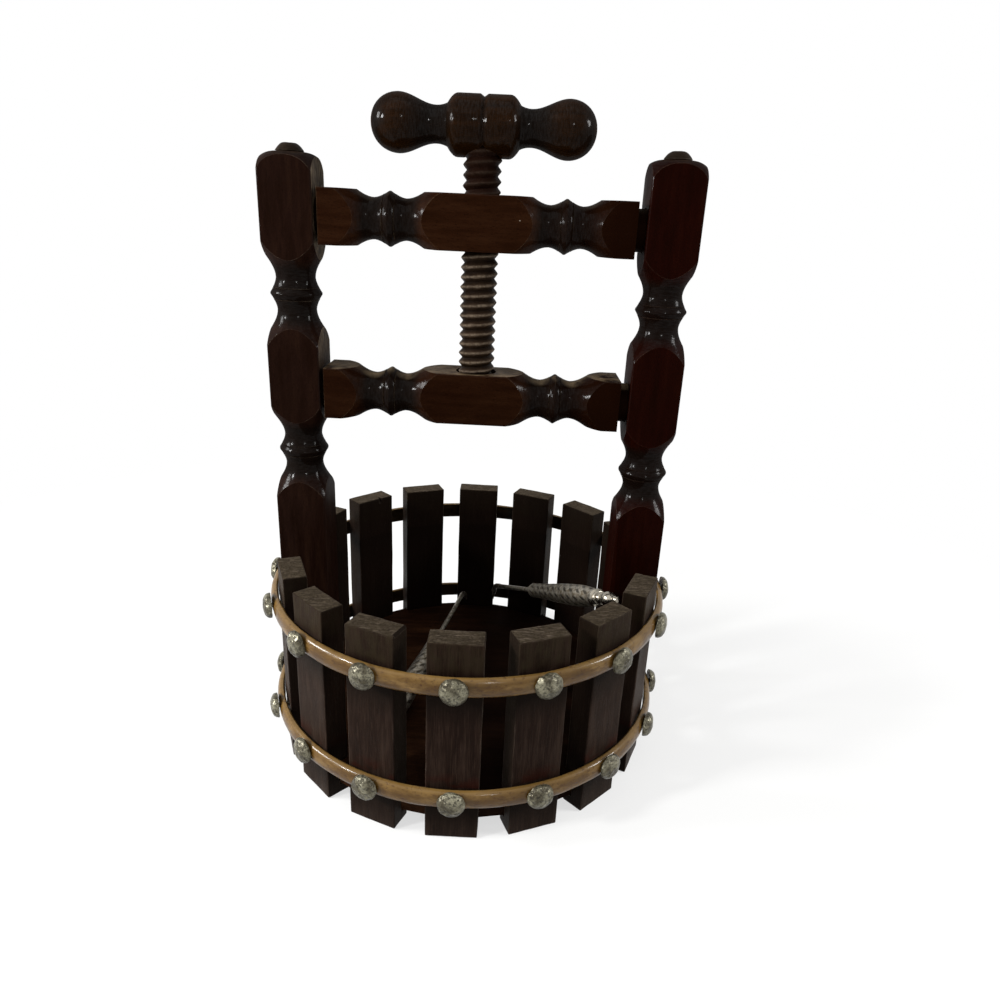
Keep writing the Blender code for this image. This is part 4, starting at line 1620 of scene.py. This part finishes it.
@dataclass
class TurnHandle:
    """The turned handle across the screw's head."""

    finishes: Finishes
    barrel_half: float = 8.8 * MM
    chamfer: float = 3.6 * MM
    groove_depth: float = 0.9 * MM
    groove_half: float = 1.2 * MM
    neck: float = 5.95 * MM
    neck_offset: float = 16.1 * MM
    grip: float = 9.5 * MM
    grip_offset: float = 28.9 * MM
    socket: float = 6.6 * MM
    socket_top: float = 235.1 * MM
    dowel: float = 2.3 * MM
    dowel_top: float = 241.1 * MM

    def half(self, end: float, barrel: float) -> Outline:
        """The outline of the right half, from the grip's end to the middle groove.

        Args:
            end: Half of the handle's length.
            barrel: Radius of the barrel.

        Returns:
            (radius, position) points.
        """
        points: Outline = [(0.0, end)]
        for share in steps_to(14, 1):
            angle = share * math.pi / 2
            points.append((self.grip * math.sin(angle) ** 0.92,
                           self.grip_offset + (end - self.grip_offset) * math.cos(angle)))
        for share in steps_to(14, 1):
            points.append((sweep(self.grip, self.neck, share),
                           self.grip_offset + (self.neck_offset - self.grip_offset) * share))
        foot = self.barrel_half + self.chamfer
        rim = barrel - self.chamfer + 0.5 * MM
        for share in (0.3, 0.6, 0.85, 1.0):
            points.append((self.neck + (rim - self.neck) * share ** 2.2,
                           self.neck_offset + (foot - self.neck_offset) * share))
        for share in steps_to(5, 1):
            points.append((rim + (barrel - rim) * math.sin(share * math.pi / 2) ** 0.9,
                           foot + (self.barrel_half - foot) * share))
        points += [(barrel, self.groove_half + 0.2 * MM), (barrel - 0.15 * MM, self.groove_half - 0.1 * MM)]
        points.append((barrel - self.groove_depth + 0.1 * MM, 0.2 * MM))
        return points

    def build(self) -> None:
        """Builds and dresses the handle."""
        low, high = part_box("turn_handle")
        barrel, middle = (high.z - low.z) / 2, (high.z + low.z) / 2
        right = self.half(high.x, barrel)
        left = [(radius, -place) for radius, place in reversed(right)]
        handle = Bench.lathe("turned_handle", right + [(barrel - self.groove_depth, 0.0)] + left, 96)
        Bench.mark_hollows(handle, self.grip, self.neck)
        handle.rotation_euler.y = math.pi / 2
        handle.location.z = middle
        Bench.fix_place(handle)
        Bench.carve(handle, Bench.rod("socket", self.socket, low.z - MM, self.socket_top, 48))
        Bench.carve(handle, Bench.rod("dowel_hole", self.dowel, low.z, self.dowel_top, 24))
        Bench.smooth(handle, 30)
        fit_out(handle, self.finishes.handle_wood, "press_turn", "turn_handle")


# The nut picks


@dataclass(frozen=True)
class PickPlace:
    """Where a pick lies.

    Ball and knee have an angle round the bowl, a distance to the staves' inner
    faces and a height.
    """

    node: str
    body: str
    from_knee: bool              # which of the two ends is exactly in place
    ball: tuple[float, float, float]
    knee: tuple[float, float, float]


@dataclass
class NutPicks:
    """Two plated picks: a rope-twist grip, beads, a ball with a nib and a hooked tip."""

    finishes: Finishes
    length: float = 113.0 * MM
    hook: float = 11.0 * MM
    hook_angle: float = math.radians(55)
    taper: float = 0.86                 # of each step of the tip
    nib: float = 1.7 * MM
    ball: float = 3.4 * MM
    ball_at: float = 6.6 * MM
    grip: float = 5.2 * MM
    grip_start: float = 14.5 * MM
    grip_end: float = 70.0 * MM
    shaft: float = 1.2 * MM
    ribs: int = 7
    rib_depth: float = 0.8 * MM
    dimple_step: float = math.radians(40)
    twist: float = math.radians(540)    # over the grip
    beads: tuple[tuple[float, float, float], ...] = (    # place, radius and half width
        (10.6 * MM, 3.1 * MM, 0.7 * MM), (12.2 * MM, 2.6 * MM, 0.5 * MM), (13.4 * MM, 3.4 * MM, 0.5 * MM))
    groove_steps: tuple[tuple[float, float], ...] = (    # reach in ribs and share of the depth
        (0.09, 0.3), (0.2, 0.4), (0.3, 0.3))

    def places(self) -> list[PickPlace]:
        """The two picks' places, from the floor's and the staves' heights.

        Returns:
            The lying and the leaning pick.
        """
        floor_top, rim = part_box("floor_disc")[1].z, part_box("stave_front_4")[1].z
        return [
            PickPlace("nut_pick_floor", "pick_floor", from_knee=True,
                      ball=(math.radians(-121.0), 7.1 * MM, floor_top + 4.3 * MM),
                      knee=(math.radians(96.1), 9.3 * MM, floor_top + 11.4 * MM)),
            PickPlace("nut_pick_leaning", "pick_leaning", from_knee=False,
                      ball=(math.radians(-31.0), 0.8 * MM, rim - 3.4 * MM),
                      knee=(math.radians(79.0), 7.5 * MM, floor_top + 17.0 * MM)),
        ]

    def bead(self, centre: float, radius: float, half: float) -> Outline:
        """The outline of a round bead.

        Args:
            centre: Its place along the pick.
            radius: Its radius.
            half: Half of its width.

        Returns:
            (radius, place) points.
        """
        return [(radius - 0.5 * half * (1 - math.cos(swing)), centre + half * math.sin(swing))
                for swing in (math.radians(angle) for angle in range(-90, 91, 30))]

    def straight_part(self, name: str) -> Piece:
        """The pick from its nib to the knee, turned on the Z axis.

        Args:
            name: The piece's name.

        Returns:
            The turned piece, its nib at the origin.
        """
        b, g, w = self.ball, self.grip, self.shaft
        points: Outline = [(0.0, 0.0)] + self.bead(0.9 * self.nib, self.nib, 0.85 * self.nib)
        points.append((0.38 * b, 1.9 * self.nib))
        for angle in range(30, 151, 15):
            swing = math.radians(angle)
            points.append((b * math.sin(swing), self.ball_at - b * math.cos(swing)))
        for centre, radius, half in self.beads:
            points.append((0.62 * b, centre - half - 0.15 * MM))
            points += self.bead(centre, radius, half)
        for share in steps_to(90):
            swell, taper = sweep(0.8 * g, g, min(1.0, 4 * share)), sweep(g, 0.72 * g, (share - 0.3) / 0.7)
            points.append((swell if share < 0.3 else taper,
                           self.grip_start + (self.grip_end - self.grip_start) * share))
        for radius, place in ((0.4, 0.3), (0.46, 0.6), (0.3, 0.9)):
            points.append((radius * g, self.grip_end + place * g))
        points += [(w, self.grip_end + 1.4 * g), (w, self.length - 2 * w), (w, self.length),
                   (0.0, self.length)]
        piece = Bench.lathe(name, points, 10 * self.ribs)
        self.rope(piece, self.grip_start + 1.5 * MM, self.grip_end - 1.2 * MM)
        return piece

    def rope(self, piece: Piece, low: float, high: float) -> None:
        """Presses straight grooves into the grip and twists them into a rope.

        Args:
            piece: The turned pick on the Z axis.
            low: Start of the grip.
            high: End of the grip.
        """
        step = math.tau / self.ribs
        for reach, depth in self.groove_steps:
            for vertex in piece.data.vertices:
                angle = math.atan2(vertex.co.y, vertex.co.x) % step
                vertex.select = low < vertex.co.z < high and min(angle, step - angle) < reach * step
            share = 1 - depth * self.rib_depth / self.grip
            with Bench.editing(piece, everything=False):
                bpy.ops.transform.resize(value=(share, share, 1.0), center_override=(0, 0, 0))
        bright = piece.data.attributes.new(BRIGHT, "FLOAT", "FACE")
        for face, value in zip(piece.data.polygons, bright.data):
            angle = math.atan2(face.center.y, face.center.x) % step
            value.value = float(face.center.z < low)
            if low < face.center.z < high and min(angle, step - angle) < 0.2 * step:
                value.value = -1.0
        twist = piece.modifiers.new("twist", "SIMPLE_DEFORM")
        twist.deform_method = "TWIST"
        twist.deform_axis = "Z"
        twist.limits = (self.grip_start / self.length, self.grip_end / self.length)
        twist.angle = self.twist
        Bench.apply(piece)
        # Painted shade: the grooves stay dark in rows of dimples along the grip and are lighter between
        # them.
        for face, value in zip(piece.data.polygons, piece.data.attributes[BRIGHT].data):
            past = math.atan2(face.center.y, face.center.x) % self.dimple_step
            if value.value < 0 and past > 0.5 * self.dimple_step:
                value.value = -0.35

    def hook_part(self) -> Piece:
        """The bent tip, extruded ring by ring from the knee, on the Z axis.

        Returns:
            The tip, which starts inside the shaft.
        """
        w, bends, straight = self.shaft, 6, 8
        start = (0, 0, self.length - 3 * w)
        Bench.take()
        bpy.ops.mesh.primitive_circle_add(vertices=20, radius=w, fill_type="NGON", location=start)
        tip = Bench.added("tip")
        Bench.fix_place(tip)
        with Bench.editing(tip):
            bpy.ops.mesh.extrude_region_move(TRANSFORM_OT_translate={"value": (0, 0, 3 * w)})
            heading, place = 0.0, Vector((0.0, 0.0, self.length))
            for index in range(bends + straight):
                bent = index < bends
                turned = self.hook_angle / bends if bent else 0.0
                heading += turned
                reach = 0.8 * w if bent else (self.hook - bends * 0.8 * w) / straight
                step = Vector((math.sin(heading), 0.0, math.cos(heading))) * reach
                bpy.ops.mesh.extrude_region_move(TRANSFORM_OT_translate={"value": step})
                place += step
                if bent:
                    bpy.ops.transform.rotate(value=-turned, orient_axis="Y", center_override=place)
                else:
                    bpy.ops.transform.resize(value=(self.taper,) * 3, center_override=place)
        Bench.weld(tip)
        return tip

    def build(self) -> None:
        """Builds both picks in their places."""
        inner = -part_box("stave_front_4")[1].y
        for spot in self.places():
            ball, knee = (
                Vector(((inner - inset) * math.cos(angle), (inner - inset) * math.sin(angle), height))
                for angle, inset, height in (spot.ball, spot.knee)
            )
            along = (knee - ball).normalized()
            start = knee - along * self.length if spot.from_knee else ball
            side = along.cross(Vector((0, 0, 1))).normalized()
            down = along.cross(side)
            frame = Matrix((down, along.cross(down), along)).transposed().to_4x4()
            piece = self.straight_part(f"{spot.node}_steel")
            Bench.carve(piece, self.hook_part(), "UNION")
            piece.matrix_world = Matrix.Translation(start) @ frame
            Bench.fix_place(piece)
            Bench.smooth(piece, 40)
            fit_out(piece, self.finishes.steel, spot.body, spot.node)


# Studio


@dataclass(frozen=True)
class SoftLight:
    """A square soft light, aimed at the object."""

    name: str
    azimuth: float      # degrees, 0 in front of the object and 90 to its right
    elevation: float
    distance: float
    size: float
    watts: float

    def hang(self, target: Vector) -> None:
        """Places the light and aims it.

        Args:
            target: The point it looks at.
        """
        turn, rise = math.radians(self.azimuth), math.radians(self.elevation)
        way = Vector((math.sin(turn) * math.cos(rise), -math.cos(turn) * math.cos(rise), math.sin(rise)))
        Bench.take()
        bpy.ops.object.light_add(type="AREA", location=target + way * self.distance)
        light = Bench.added(self.name)
        light.rotation_euler = (-way).to_track_quat("-Z", "Y").to_euler()
        light.data.shape = "SQUARE"
        light.data.size = self.size
        light.data.energy = self.watts


@dataclass
class Studio:
    """A pale floor, soft light and the camera at the photograph's place."""

    camera_at: tuple[float, float, float] = (13.68 * MM, -284.67 * MM, 208.80 * MM)
    pitch: float = 20.84
    roll: float = 2.661
    yaw: float = 0.476
    lens: float = 27.2
    sensor: float = 36.0
    floor_radius: float = 3.0
    shadow_ring: tuple[float, float] = (0.12, 0.4)    # radii between which the floor fades to white
    shadow_white: float = 0.62
    ambient: float = 0.24
    lights: tuple[SoftLight, ...] = (
        SoftLight("window_left", -62, 21, 0.9, 0.1, 6.0),
        SoftLight("window_front", 15, 25, 1.1, 0.05, 1.5),
        SoftLight("left_soft", -84, 22, 1.2, 0.3, 15.0),
        SoftLight("top_soft", -20, 70, 1.6, 1.6, 5.4),
        SoftLight("right_soft", 86, 25, 1.2, 0.3, 10.5),
    )

    def set_camera(self) -> None:
        """Adds the camera and makes it the scene's."""
        pitch, roll, yaw = (math.radians(value) for value in (self.pitch, self.roll, self.yaw))
        right = Vector((math.cos(yaw), math.sin(yaw), 0.0))
        ahead = Vector((-math.sin(yaw), math.cos(yaw), 0.0))
        up = Vector((0.0, 0.0, 1.0))
        look = math.cos(pitch) * ahead - math.sin(pitch) * up
        upright = math.sin(pitch) * ahead + math.cos(pitch) * up
        x_axis = math.cos(roll) * right + math.sin(roll) * upright
        y_axis = -math.sin(roll) * right + math.cos(roll) * upright
        Bench.take()
        bpy.ops.object.camera_add(location=self.camera_at)
        camera = Bench.added("photo_camera")
        camera.rotation_euler = Matrix((x_axis, y_axis, -look)).transposed().to_euler()
        camera.data.sensor_width = self.sensor
        camera.data.lens = self.lens
        camera.data.clip_start = 0.01
        bpy.context.scene.camera = camera

    def lay_floor(self) -> None:
        """Adds a round pale floor that keeps the object's shadow."""
        Bench.take()
        bpy.ops.mesh.primitive_circle_add(vertices=96, radius=self.floor_radius, fill_type="NGON")
        floor = Bench.added("pale_floor")
        surface = Surface("pale_paper_floor")
        paper = surface.add("BsdfDiffuse", {"Color": "F4F4F2"})
        glow = surface.add("Emission", {"Color": "FFFFFF", "Strength": 1.0})
        white = surface.between(surface.radius(), *self.shadow_ring, self.shadow_white, 1.0)
        share = surface.product(direct_rays(surface.tree), white)
        mix = surface.add("MixShader", {"Fac": share, "Shader": paper.outputs["BSDF"],
                                        "Shader_001": glow.outputs["Emission"]})
        surface.show(mix.outputs["Shader"])
        floor.data.materials.append(surface.material)
        floor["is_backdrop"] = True

    def set_world(self) -> None:
        """Makes the world light soft and its background white."""
        world = bpy.data.worlds.new("studio_air")
        world.use_nodes = True
        tree = world.node_tree
        tree.nodes.clear()
        light = add_node(tree, "Background", {"Color": "FFFFFF", "Strength": self.ambient})
        white = add_node(tree, "Background", {"Color": "FFFFFF", "Strength": 1.0})
        mix = add_node(tree, "MixShader", {"Fac": direct_rays(tree), "Shader": light.outputs["Background"],
                                           "Shader_001": white.outputs["Background"]})
        output = add_node(tree, "OutputWorld", {})
        tree.links.new(mix.outputs["Shader"], output.inputs["Surface"])
        bpy.context.scene.world = world

    def build(self) -> None:
        """Sets up camera, floor, world and lights."""
        bpy.context.scene.view_settings.view_transform = "Standard"
        self.set_camera()
        self.lay_floor()
        self.set_world()
        low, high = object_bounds()
        for light in self.lights:
            light.hang((low + high) / 2)


def main() -> None:
    """Builds the dressed object and its studio."""
    logging.basicConfig(level=logging.INFO, format="%(name)s %(message)s")
    for obj in list(bpy.data.objects):
        bpy.data.objects.remove(obj, do_unlink=True)
    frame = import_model()
    finishes = Finishes()
    Studio().build()
    KeptSolids(finishes, frame["nodes"]).build()
    makers = (StaveRing, Hoops, TackRows, Posts, PostButtons, CrossBars, PressScrew, TurnHandle, NutPicks)
    for maker in makers:
        maker(finishes).build()


if __name__ == "__main__":
    main()
